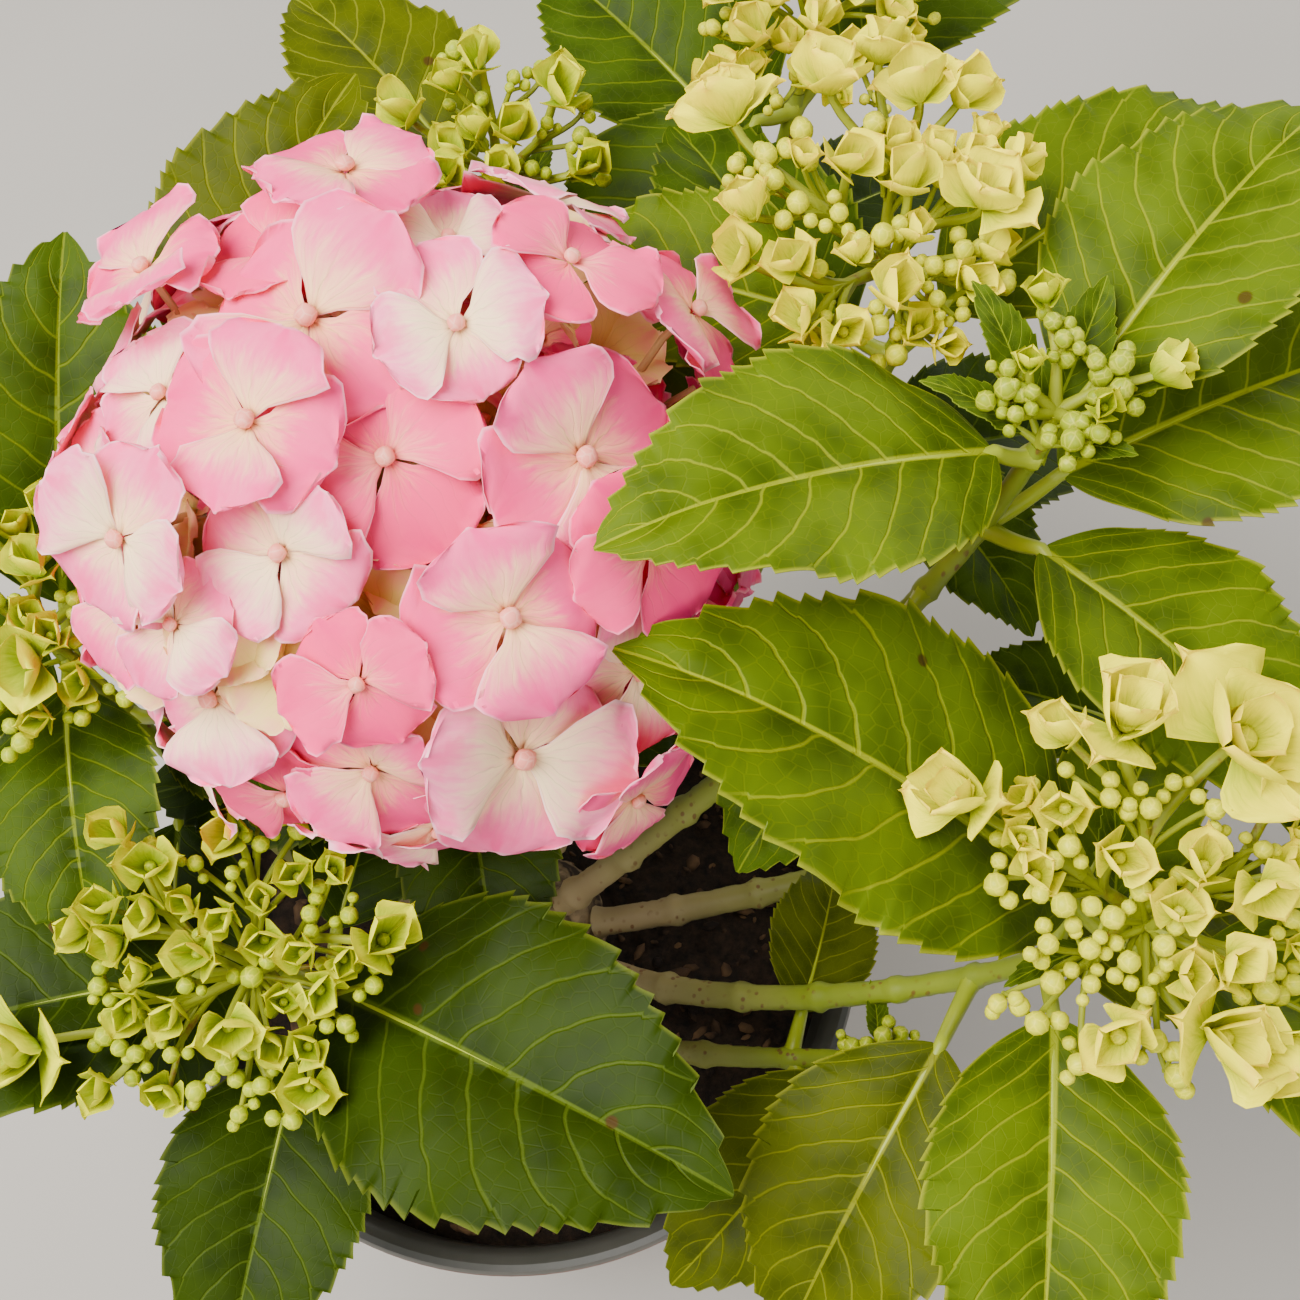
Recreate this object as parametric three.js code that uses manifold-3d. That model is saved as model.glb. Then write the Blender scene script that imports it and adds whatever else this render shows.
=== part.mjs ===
// Young mophead hydrangea in its nursery pot, with one open pink head and several corymbs still
// opening. Millimetres, +Z up. The origin is the middle of the pot's flat underside, +X points
// right and -Y points at whoever looks down on the plant from the front.
import * as THREE from 'three';
import { mergeVertices } from 'three/addons/utils/BufferGeometryUtils.js';
import Module from 'manifold-3d';

const wasm = await Module();
wasm.setup();

// Driving sizes of the pot
const potHeight = 168;
const rimRadius = 106;
const footRadius = 76;
const wall = 2.2;
const floorThickness = 3;
const rimRoll = 7;
const potSegments = 32;
const drainHoles = 6;
const drainRadius = 4.5;
const drainCircle = 55;
const soilBelowRim = 17;
const seatGap = 0.3;

// Driving sizes of the plant
const crownRadius = 26;
const crownSides = 22;
const caneFootRadius = 4.4;
const caneTipRadius = 3.1;
const caneSides = 6;
const caneSteps = 6;
const shootTipRadius = 2.3;
const internode = 27;
const firstNode = 5;
const leafWidthShare = 0.64;
const leafThickShare = 0.017;
const leafWidest = 0.42;
const leafArch = 0.07;
const leafFold = 0.16;
const leafStations = [0, 0.1, 0.27, 0.47, 0.68, 0.86, 1];
const stalkShare = 0.24;
const stalkRadius = 2;
const clearance = 0.45;
const headLean = THREE.MathUtils.degToRad(25);

// Each shoot: where its tip stands, where it leaves the crown (bearing and climb in degrees), how long
// its leafy end is, how long its top leaves are, the bearing of its first leaf, and how many pairs it has.
// A leaf that the rule would put elsewhere is set by its number: bearing, climb of the blade, length, stalk.
const shoots = [
  { name: 'middle', tip: [-12, 36, 258], foot: [122, 58], leafy: 62, leaf: 88, turn: 75, pairs: 2,
    set: { 0: [100, 4, 92, 22], 1: [-80, -8, 66, 20], 2: [-170, 0, 74, 20], 3: [10, -4, 70, 20] } },
  { name: 'front_left', tip: [-60, -35, 240], foot: [218, 30], leafy: 58, leaf: 92, turn: -29, pairs: 2,
    set: { 0: [-29, 5, 122, 24], 1: [-166, 2, 92, 22], 2: [-100, -7, 84, 26], 3: [78, -4, 60, 16] } },
  { name: 'left', tip: [-119, 44, 272], foot: [180, 30], leafy: 84, leaf: 90, turn: 86, pairs: 3,
    set: { 0: [86, 36, 98, 16], 1: [-78, -6, 74, 14], 2: [175, 8, 84, 20], 3: [-20, -10, 52, 14] } },
  { name: 'back_right', tip: [104, 106, 326], foot: [64, 58], leafy: 92, leaf: 92, turn: 28, pairs: 3,
    set: { 0: [28, 14, 96, 18], 1: [164, -2, 78, 18], 2: [118, 6, 86, 20], 3: [-52, -12, 60, 18] } },
  { name: 'right', tip: [129, 53, 362], foot: [12, 58], leafy: 96, leaf: 92, turn: -160, pairs: 3,
    set: { 0: [-160, 5, 96, 14], 1: [48, 15, 92, 16], 2: [-44, -8, 90, 18], 3: [22, 4, 96, 22],
      4: [-125, -17, 72, 18], 5: [60, -8, 76, 20] } },
  { name: 'front_right', tip: [151, -45, 306], foot: [-34, 30], leafy: 84, leaf: 94, turn: 157, pairs: 3,
    set: { 0: [157, 23, 122, 18], 1: [-27, -10, 92, 18], 2: [-95, -14, 92, 18], 3: [62, 20, 58, 16],
      4: [-120, -24, 88, 24], 5: [14, -12, 72, 22] } },
  { name: 'low_right', tip: [104, -54, 214], foot: [-68, 28], leafy: 50, leaf: 62, turn: -133, pairs: 2,
    set: { 0: [-133, -14, 74, 10], 1: [163, 26, 62, 10], 2: [-62, -14, 56, 14], 3: [75, -6, 50, 14] } },
  { name: 'back', tip: [-2, 172, 292], foot: [110, 30], leafy: 84, leaf: 84, turn: 120, pairs: 3, set: {} },
  { name: 'back_left', tip: [-88, 112, 290], foot: [146, 30], leafy: 78, leaf: 90, turn: 59, pairs: 3,
    set: { 0: [59, 27, 94, 10], 1: [-150, -8, 70, 16], 2: [150, 4, 86, 18] } },
  { name: 'far_back', tip: [82, 196, 318], foot: [78, 28], leafy: 88, leaf: 88, turn: -142, pairs: 3,
    set: { 0: [-142, -9, 86, 14], 1: [40, 8, 84, 16], 2: [118, 4, 86, 18] } },
  { name: 'side_right', tip: [182, 22, 262], foot: [0, 24], leafy: 66, leaf: 76, turn: 30, pairs: 2,
    set: { 0: [-10, -6, 76, 16], 1: [165, 6, 50, 12], 2: [-70, -14, 62, 16], 3: [70, -8, 66, 16] } },
];

// Flower heads. Each stands on the shoot of its name: the middle of its dome, the dome's radius and rise,
// and its open florets as seen from the front: across, up and width. Buds fill the dome between them.
const heads = [
  { name: 'front_left', middle: [-60, -42, 268], radius: 60, rise: 20, buds: 10, colour: '#d3da62',
    cups: [[-54, -19, 27], [36, 9, 17], [-30, 34, 14], [-21, 27, 15], [-2, 35, 14], [-39, 11, 12],
      [-9, 6, 14], [-1, -12, 16], [18, -27, 15], [-34, -28, 12]] },
  { name: 'left', middle: [-118, 40, 298], radius: 42, rise: 16, buds: 5, colour: '#d3da62',
    cups: [[5, -11, 20], [6, 13, 16], [-7, 18, 14], [10, -4, 12], [-10, -8, 14], [-24, 3, 18],
      [-20, -20, 16], [-29, 17, 14]] },
  { name: 'back_right', middle: [93, 112, 366], radius: 46, rise: 22, buds: 5, colour: '#eee59a',
    cups: [[-34, 23, 22], [-11, 30, 19], [1, 37, 16], [9, 26, 18], [20, 26, 16], [24, 1, 22], [32, 10, 14],
      [-30, 0, 13], [-32, -11, 15], [-18, -26, 14], [-8, -29, 13], [3, -20, 16], [-7, 9, 15], [6, 5, 16],
      [-20, -13, 14]] },
  { name: 'front_right', middle: [147, -45, 334], radius: 50, rise: 20, buds: 8, colour: '#eadf96',
    cups: [[18, 35, 34], [-6, 39, 26], [-19, 37, 14], [13, -27, 26], [-40, 22, 22], [-9, -27, 17],
      [29, 25, 19], [-9, 11, 14], [8, 10, 14], [21, 4, 16], [15, -11, 14], [26, -31, 20]] },
  { name: 'right', middle: [131, 56, 378], radius: 26, rise: 9, buds: 6, colour: '#bccb5e',
    cups: [[22, 5, 13], [2, 15, 8], [-9, 6, 8], [7, -2, 9]] },
  { name: 'low_right', middle: [102, -58, 226], radius: 20, rise: 8, buds: 4, colour: '#bccb5e',
    cups: [[-9, -3, 9], [6, 4, 8]] },
  { name: 'back', middle: [-2, 174, 318], radius: 38, rise: 16, buds: 4, colour: '#d3da62',
    cups: [[-24, 8, 16], [-4, 22, 15], [18, 14, 17], [26, -6, 14], [-14, -10, 15], [6, 2, 14]] },
  { name: 'far_back', middle: [84, 200, 346], radius: 42, rise: 18, buds: 4, colour: '#eee59a',
    cups: [[-28, 10, 18], [-8, 26, 17], [16, 22, 19], [30, 2, 16], [-16, -12, 15], [8, 0, 16]] },
];

// The pink head: its florets that face forward, then how many go round its sides and back.
const mophead = {
  middle: [-17, 51, 333], radius: 84, rise: 52, back: 34, sideFlorets: 22, sideWidth: 42,
  florets: [[-16, 39, 52], [-26, 15, 46], [1, 9, 46], [-53, 25, 40], [-10, 71, 44], [13, 62, 34],
    [16, 35, 40], [43, 9, 50], [-21, -12, 42], [-51, -8, 42], [-43, -26, 32], [-42, -45, 46],
    [-23, -38, 28], [-4, -38, 38], [26, -24, 48], [29, -55, 46], [37, 47, 38], [64, 42, 42], [36, 59, 24],
    [55, -11, 38], [51, -63, 38], [-34, -30, 26], [-53, 50, 42]],
};

// Seeded random numbers, the same on every run.
function seeded(seed) {
  let state = seed >>> 0;
  return () => {
    state = (state + 0x6d2b79f5) >>> 0;
    let mixed = Math.imul(state ^ (state >>> 15), state | 1);
    mixed ^= mixed + Math.imul(mixed ^ (mixed >>> 7), mixed | 61);
    return ((mixed ^ (mixed >>> 14)) >>> 0) / 4294967296;
  };
}

// A closed body from a three.js geometry, its doubled points merged and its faces pointing out.
function bodyOf(geometry) {
  const plain = geometry.index ? geometry.toNonIndexed() : geometry.clone();
  plain.deleteAttribute('normal');
  plain.deleteAttribute('uv');
  const merged = mergeVertices(plain, 1e-4);
  const place = merged.attributes.position;
  const corners = [];
  let volume = 0;
  const a = new THREE.Vector3();
  const b = new THREE.Vector3();
  const c = new THREE.Vector3();
  for (let i = 0; i < merged.index.count; i += 3) {
    const [p, q, r] = [0, 1, 2].map((k) => merged.index.getX(i + k));
    if (p === q || q === r || r === p) continue;
    corners.push(p, q, r);
    a.fromBufferAttribute(place, p);
    b.fromBufferAttribute(place, q);
    c.fromBufferAttribute(place, r);
    volume += a.dot(b.cross(c));
  }
  if (volume < 0) corners.reverse();
  const vertProperties = new Float32Array(place.array);
  const triVerts = new Uint32Array(corners);
  return new wasm.Manifold(new wasm.Mesh({ numProp: 3, vertProperties, triVerts }));
}

// A turned body: its outline, given as radius and height, swept round the upright axis
function turned(outline, sides) {
  const geometry = new THREE.LatheGeometry(outline.map(([r, z]) => new THREE.Vector2(r, z)), sides);
  geometry.rotateX(Math.PI / 2);
  return bodyOf(geometry);
}

function bodyFrom(points, faces) {
  const geometry = new THREE.BufferGeometry();
  geometry.setAttribute('position', new THREE.Float32BufferAttribute(points.flatMap((p) => p.toArray()), 3));
  geometry.setIndex(faces.flat());
  return bodyOf(geometry);
}

// The largest outer skin of a fused body: a sealed hollow is filled and a loose scrap is dropped.
function oneSkin(body) {
  const pieces = body.simplify(0.03).decompose();
  pieces.sort((p, q) => q.volume() - p.volume());
  return pieces[0];
}

function meshOf(body, name, colour, roughness) {
  const data = body.getMesh();
  const geometry = new THREE.BufferGeometry();
  geometry.setAttribute('position', new THREE.BufferAttribute(new Float32Array(data.vertProperties), 3));
  geometry.setIndex(new THREE.BufferAttribute(new Uint32Array(data.triVerts), 1));
  geometry.computeVertexNormals();
  const material = new THREE.MeshStandardMaterial({ color: colour, roughness, metalness: 0 });
  const mesh = new THREE.Mesh(geometry, material);
  mesh.name = name;
  return mesh;
}

// A limb along a curve, tapering evenly from one radius to the other, with flat ends.
function limb(curve, from, to, sides, steps) {
  const frames = curve.computeFrenetFrames(steps, false);
  const points = [];
  const faces = [];
  for (let i = 0; i <= steps; i += 1) {
    const centre = curve.getPointAt(i / steps);
    const radius = from + ((to - from) * i) / steps;
    for (let k = 0; k < sides; k += 1) {
      const turn = (k / sides) * 2 * Math.PI;
      points.push(centre.clone()
        .addScaledVector(frames.normals[i], radius * Math.cos(turn))
        .addScaledVector(frames.binormals[i], radius * Math.sin(turn)));
    }
  }
  for (let i = 0; i < steps; i += 1) {
    for (let k = 0; k < sides; k += 1) {
      const p = i * sides + k;
      const q = i * sides + ((k + 1) % sides);
      faces.push([p, q, q + sides], [p, q + sides, p + sides]);
    }
  }
  for (let k = 1; k < sides - 1; k += 1) {
    const last = steps * sides;
    faces.push([0, k + 1, k], [last, last + k, last + k + 1]);
  }
  return bodyFrom(points, faces);
}

function rod(start, end, from, to, sides = 3) {
  return limb(new THREE.LineCurve3(start, end), from, to, sides, 1);
}

function heading(bearing, climb) {
  const turn = THREE.MathUtils.degToRad(bearing);
  const rise = THREE.MathUtils.degToRad(climb);
  return new THREE.Vector3(Math.cos(rise) * Math.cos(turn), Math.cos(rise) * Math.sin(turn), Math.sin(rise));
}

// Half the width of a leaf, as a share of its widest, at a share of its length from the stalk.
function leafOutline(along) {
  const tail = 1;
  const shoulder = (tail * leafWidest) / (1 - leafWidest);
  const shape = (u) => u ** shoulder * (1 - u) ** tail;
  return shape(along) / shape(leafWidest);
}

// A leaf blade: pointed oval, folded up along its midrib, arched lengthwise and thickest at the midrib.
function leafBlade(base, direction, length, roll, extra = 0) {
  const level = new THREE.Vector3(0, 0, 1).cross(direction).normalize().applyAxisAngle(direction, roll);
  const up = direction.clone().cross(level);
  const half = (length * leafWidthShare) / 2;
  const points = [base.clone()];
  const faces = [];
  const inner = leafStations.slice(1, -1);
  for (const u of inner) {
    const side = half * leafOutline(u);
    const arch = 4 * leafArch * length * u * (1 - u);
    const thick = leafThickShare * length * (1 - 0.45 * u) + extra;
    const spine = base.clone().addScaledVector(direction, u * length);
    points.push(spine.clone().addScaledVector(level, side).addScaledVector(up, arch + leafFold * side));
    points.push(spine.clone().addScaledVector(up, arch + thick / 2));
    points.push(spine.clone().addScaledVector(level, -side).addScaledVector(up, arch + leafFold * side));
    points.push(spine.clone().addScaledVector(up, arch - thick / 2));
  }
  const tip = points.length;
  points.push(base.clone().addScaledVector(direction, length));
  const last = tip - 4;
  for (let k = 0; k < 4; k += 1) {
    const next = (k + 1) % 4;
    faces.push([0, 1 + next, 1 + k], [tip, last + k, last + next]);
    for (let i = 0; i < inner.length - 1; i += 1) {
      const p = 1 + i * 4;
      faces.push([p + k, p + next, p + 4 + next], [p + k, p + 4 + next, p + 4 + k]);
    }
  }
  return bodyFrom(points, faces);
}

// Two directions across the way that a flower faces
function across(facing, spin) {
  const side = new THREE.Vector3(Math.cos(spin), Math.sin(spin), 0.3).cross(facing).normalize();
  return [side, facing.clone().cross(side)];
}

// A flower on its own stalk, as one closed body. The stalk has four sides and widens into the flower's
// back. Each quarter of the flower's edge is a list of reach, height and part of the quarter turn.
function stalkedFlower(foot, flower, thick, quarter, middleHeight, neckDepth) {
  const { place, facing, width, spin } = flower;
  const ring = (middle, way, radius) => {
    const [side, other] = across(way, spin);
    return [0, 1, 2, 3].map((k) => middle.clone()
      .addScaledVector(side, radius * Math.cos(((k + 0.5) * Math.PI) / 2))
      .addScaledVector(other, radius * Math.sin(((k + 0.5) * Math.PI) / 2)));
  };
  const points = [
    ...ring(foot, facing, thick),
    ...ring(place.clone().addScaledVector(facing, -neckDepth * width), facing, thick),
  ];
  const [side, other] = across(facing, spin);
  const count = quarter.length;
  for (let k = 0; k < 4 * count; k += 1) {
    const [reach, height, part] = quarter[k % count];
    const turn = ((Math.floor(k / count) + part) * Math.PI) / 2;
    points.push(place.clone().addScaledVector(side, reach * width * Math.cos(turn))
      .addScaledVector(other, reach * width * Math.sin(turn))
      .addScaledVector(facing, height * width));
  }
  const middle = points.length;
  points.push(place.clone().addScaledVector(facing, middleHeight * width));
  const faces = [[0, 2, 1], [0, 3, 2]];
  for (let k = 0; k < 4; k += 1) {
    const next = (k + 1) % 4;
    faces.push([k, next, 4 + next], [k, 4 + next, 4 + k]);
    for (let i = 0; i < count; i += 1) {
      const here = 8 + k * count + i;
      const after = 8 + ((k * count + i + 1) % (4 * count));
      faces.push([4 + k, after, here], [middle, here, after]);
    }
    faces.push([4 + k, 4 + next, 8 + next * count]);
  }
  return bodyFrom(points, faces);
}

// Edges of the flowers: the open floret's round sepals, the half-open floret's pointed ones, and a bud
const openQuarter = [[0.17, 0, 0], [0.5, 0.05, 0.27], [0.5, 0.05, 0.73]];
const cupQuarter = [[0.26, 0.12, 0], [0.5, 0.3, 0.5]];
const budQuarter = [[0.5, 0, 0.5]];

// A place on a head's dome, given across and up as seen from the front, with the way it faces there.
const headRight = new THREE.Vector3(1, 0, 0);
const headUp = new THREE.Vector3(0, Math.cos(headLean), Math.sin(headLean));
const headOut = new THREE.Vector3(0, -Math.sin(headLean), Math.cos(headLean));

function domePlace(head, x, y, out, rise) {
  const place = new THREE.Vector3(...head.middle)
    .addScaledVector(headRight, x).addScaledVector(headUp, y).addScaledVector(headOut, out);
  const facing = new THREE.Vector3()
    .addScaledVector(headRight, x / head.radius ** 2)
    .addScaledVector(headUp, y / head.radius ** 2)
    .addScaledVector(headOut, out / rise ** 2).normalize();
  return { place, facing };
}

function onDome(head, x, y) {
  const out = head.rise * Math.sqrt(Math.max(0, 1 - (x ** 2 + y ** 2) / head.radius ** 2));
  return domePlace(head, x, y, out, head.rise);
}

// The stalk of a head: it leaves the shoot in the shoot's own direction and bends to the hub.
function peduncle(foot, hub, radius) {
  const reach = hub.distanceTo(foot.place);
  const bend = foot.place.clone().addScaledVector(foot.way, reach * 0.5);
  const end = hub.clone().addScaledVector(headOut, radius * 0.7);
  return limb(new THREE.QuadraticBezierCurve3(foot.place, bend, end), radius, radius * 0.9, 5, 2);
}

// Rays spread from the hub, one to each sector of the head, and the stalks of a sector's flowers
// leave its ray one after another.
function raysAndFlowers(head, hub, flowers, sectors, thick) {
  const groups = new Map();
  for (const flower of flowers) {
    const away = flower.place.clone().sub(hub);
    const [x, y] = [away.dot(headRight), away.dot(headUp)];
    const turn = (Math.atan2(y, x) + Math.PI) / (2 * Math.PI);
    const inner = Math.hypot(x, y) < head.radius * 0.36;
    const key = inner ? -1 : Math.floor(turn * sectors) % sectors;
    groups.set(key, [...(groups.get(key) ?? []), flower]);
  }
  const bodies = [];
  for (const group of groups.values()) {
    const mean = new THREE.Vector3();
    group.forEach((flower) => mean.addScaledVector(flower.place, 1 / group.length));
    const rayEnd = hub.clone().lerp(mean, 0.62);
    bodies.push(rod(hub, rayEnd, thick, thick * 0.7, 4));
    group.sort((p, q) => p.place.distanceTo(hub) - q.place.distanceTo(hub));
    group.forEach((flower, k) => {
      const foot = hub.clone().lerp(rayEnd, 0.35 + (0.6 * (k + 0.5)) / group.length);
      bodies.push(stalkedFlower(foot, flower, thick * 0.45, flower.quarter, flower.middle, flower.neck));
    });
  }
  return bodies;
}

const golden = Math.PI * (3 - Math.sqrt(5));

// A corymb: half-open florets where they are given, and round buds spread evenly between them.
function corymb(head, foot, seed) {
  const random = seeded(seed);
  const flowers = head.cups.map(([x, y, width]) => ({ ...onDome(head, x, y), x, y, width,
    spin: random() * 6, quarter: cupQuarter, middle: -0.02, neck: 0.24 }));
  for (let k = 0; k < head.buds * 2; k += 1) {
    const reach = 0.8 * head.radius * Math.sqrt((k + 0.5) / (head.buds * 2));
    const x = reach * Math.cos(k * golden);
    const y = reach * Math.sin(k * golden);
    const near = flowers.some((f) => Math.hypot(f.x - x, f.y - y) < f.width * 0.5 + 4);
    if (near || flowers.length >= head.cups.length + head.buds) continue;
    const spot = onDome(head, x, y);
    spot.place.addScaledVector(spot.facing, -3);
    flowers.push({ ...spot, x, y, width: 5.4, spin: k, quarter: budQuarter, middle: 0.5, neck: 0.4 });
  }
  const hub = foot.place.clone().lerp(new THREE.Vector3(...head.middle), 0.62);
  const bodies = [peduncle(foot, hub, 2.1), ...raysAndFlowers(head, hub, flowers, 5, 1.7)];
  return oneSkin(wasm.Manifold.union(bodies));
}

// The open pink head: florets where they show from the front, then two tiers of them round its sides
// and back. Florets whose sepals lie over each other are set at different heights, as in a real head.
const layers = [0, 4.5, -4.5, 9, -9];
function pinkHead(head, foot, seed) {
  const random = seeded(seed);
  const flowers = head.florets.map(([x, y, width]) => ({ ...onDome(head, x, y), width }));
  for (let k = 0; k < head.sideFlorets; k += 1) {
    const tier = k % 2;
    const turn = (k / head.sideFlorets) * 2 * Math.PI;
    const out = head.back * (tier ? -0.7 : 0.05);
    const reach = 0.92 * head.radius * Math.sqrt(1 - (out / head.back) ** 2);
    const spot = domePlace(head, reach * Math.cos(turn), reach * Math.sin(turn), out, head.back);
    const spacing = (f) => 0.36 * (f.width + head.sideWidth);
    if (flowers.some((f) => f.place.distanceTo(spot.place) < spacing(f))) continue;
    flowers.push({ ...spot, width: head.sideWidth });
  }
  flowers.forEach((flower, i) => {
    const over = flowers.slice(0, i)
      .filter((f) => f.place.distanceTo(flower.place) < 0.5 * (f.width + flower.width));
    flower.layer = layers.find((layer) => over.every((f) => Math.abs(f.layer - layer) > 4)) ?? 0;
    flower.spin = random() * 6;
  });
  for (const flower of flowers) {
    flower.place.addScaledVector(flower.facing, flower.layer);
    Object.assign(flower, { quarter: openQuarter, middle: 0.02, neck: 0.05 });
  }
  const hub = foot.place.clone().lerp(new THREE.Vector3(...head.middle), 0.55);
  const bodies = [peduncle(foot, hub, 3), ...raysAndFlowers(head, hub, flowers, 6, 2.4)];
  return oneSkin(wasm.Manifold.union(bodies));
}

const plant = new THREE.Group();
const placed = [];

function add(body, name, colour, roughness) {
  plant.add(meshOf(body, name, colour, roughness));
  placed.push({ name, body, box: body.boundingBox() });
}

function apart(p, q) {
  return [0, 1, 2].some((i) => p.max[i] < q.min[i] || q.max[i] < p.min[i]);
}

function touches(body, others) {
  const box = body.boundingBox();
  return others.some((other) => !apart(box, other.box) && body.intersect(other.body).volume() > 0);
}

// The pot: a thin moulded wall that widens upward, a rolled rim and drain holes in its flat floor
function pot() {
  const top = potHeight;
  const neck = rimRadius - rimRoll + 1;
  const profile = [
    [0, 0], [footRadius - 3, 0], [footRadius, 3], [neck, top - rimRoll],
    [rimRadius - 0.8, top - rimRoll], [rimRadius, top - rimRoll + 2], [rimRadius - 0.4, top - 1.6],
    [rimRadius - 2.4, top], [rimRadius - 5, top - 0.6], [neck - wall, top - rimRoll],
    [footRadius - wall, floorThickness + 1], [footRadius - wall - 2, floorThickness], [0, floorThickness],
  ];
  let body = turned(profile, potSegments);
  for (let k = 0; k < drainHoles; k += 1) {
    const hole = new THREE.CylinderGeometry(drainRadius, drainRadius, 4 * floorThickness, 8);
    hole.rotateX(Math.PI / 2);
    const turn = (k / drainHoles) * 2 * Math.PI;
    hole.translate(drainCircle * Math.cos(turn), drainCircle * Math.sin(turn), 0);
    body = body.subtract(bodyOf(hole));
  }
  return body;
}

// The peat that fills the pot: it follows the wall a hair inside it and is slightly mounded on top
const soilTop = potHeight - soilBelowRim;
function pottingSoil() {
  const neck = rimRadius - rimRoll + 1 - wall;
  const foot = footRadius - wall;
  const slope = (neck - foot) / (potHeight - rimRoll - floorThickness - 1);
  const inside = (z) => foot + slope * (z - floorThickness - 1) - seatGap - 0.3;
  const low = floorThickness + seatGap;
  const profile = [
    [0, low], [foot - 3, low], [inside(low + 3), low + 3], [inside(soilTop - 4), soilTop - 4],
    [neck - 12, soilTop - 1], [0, soilTop],
  ];
  return turned(profile, potSegments);
}

// The woody crown that all canes rise from, flat where it sits on the peat
const crownFloor = soilTop + seatGap;
function crown() {
  const climbs = [0, 14, 29, 44, 58, 74, 90].map(THREE.MathUtils.degToRad);
  const dome = climbs.map((a) => [crownRadius * Math.cos(a), crownFloor + crownRadius * Math.sin(a)]);
  const profile = [[0, crownFloor], ...dome.slice(0, -1), [0, crownFloor + crownRadius]];
  return turned(profile, crownSides);
}

add(pot(), 'pot', '#6e2f1c', 0.45);
add(pottingSoil(), 'potting_soil', '#17110c', 0.95);
add(crown(), 'root_crown', '#5a4a33', 0.85);

// Each shoot's line runs from the crown to its tip: out and up first, then close to upright.
const crownMiddle = new THREE.Vector3(0, 0, crownFloor);
for (const shoot of shoots) {
  const outward = heading(shoot.foot[0], shoot.foot[1]);
  const foot = crownMiddle.clone().addScaledVector(outward, crownRadius + seatGap);
  const tip = new THREE.Vector3(...shoot.tip);
  const span = foot.distanceTo(tip);
  const rise = new THREE.Vector3(tip.x - foot.x, tip.y - foot.y, 0).multiplyScalar(0.35).setZ(tip.z - foot.z);
  shoot.line = new THREE.CubicBezierCurve3(foot, foot.clone().addScaledVector(outward, span * 0.3),
    tip.clone().addScaledVector(rise.normalize(), -span * 0.42), tip);
  shoot.length = shoot.line.getLength();
  shoot.split = 1 - shoot.leafy / shoot.length;
}

// Part of a shoot's line, from one share of its length to another
class Stretch extends THREE.Curve {
  constructor(line, from, to) {
    super();
    this.line = line;
    this.from = from;
    this.to = to;
  }

  getPoint(t, target = new THREE.Vector3()) {
    return target.copy(this.line.getPointAt(this.from + (this.to - this.from) * t));
  }
}

for (const shoot of shoots) {
  const bare = new Stretch(shoot.line, 0, shoot.split);
  add(limb(bare, caneFootRadius, caneTipRadius, caneSides, caneSteps), `cane_${shoot.name}`, '#8a9a45', 0.6);
}

function endOf(shoot) {
  const way = shoot.line.getTangentAt(1);
  return { place: new THREE.Vector3(...shoot.tip).addScaledVector(way, seatGap), way };
}

for (const [index, head] of heads.entries()) {
  const shoot = shoots.find((s) => s.name === head.name);
  add(corymb(head, endOf(shoot), 40 + index), `corymb_${head.name}`, head.colour, 0.6);
}
add(pinkHead(mophead, endOf(shoots[0]), 7), 'mophead_pink', '#f0a8c0', 0.6);

// The leafy end of each shoot. Leaves stand in opposite pairs, each pair a quarter turn from the next.
const climbs = [0, 6, -6, 12, -12, 18, -18, 25, -25, 32];
for (const [index, shoot] of shoots.entries()) {
  const random = seeded(100 + index);
  const stem = new Stretch(shoot.line, shoot.split + seatGap / shoot.length, 1);
  shoot.stem = limb(stem, caneTipRadius, shootTipRadius, caneSides, 3);
  placed.push({ name: `stem_own_${shoot.name}`, body: shoot.stem, box: shoot.stem.boundingBox() });
  shoot.fused = [shoot.stem];
  shoot.blades = [];
  shoot.leaves = [];
  for (let pair = 0; pair < shoot.pairs; pair += 1) {
    for (let side = 0; side < 2; side += 1) {
      const wobble = (random() - 0.5) * 24;
      const shrink = 0.92 ** pair * (0.94 + 0.12 * random());
      const roll = (random() - 0.5) * 0.5;
      const rule = [shoot.turn + 90 * pair + 180 * side + wobble, 6 - 9 * pair, shoot.leaf * shrink,
        shoot.leaf * stalkShare];
      const [bearing, climb, length, stalk] = shoot.set[pair * 2 + side] ?? rule;
      shoot.leaves.push({ pair, bearing, climb, length, stalk, roll });
    }
  }
}
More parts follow.
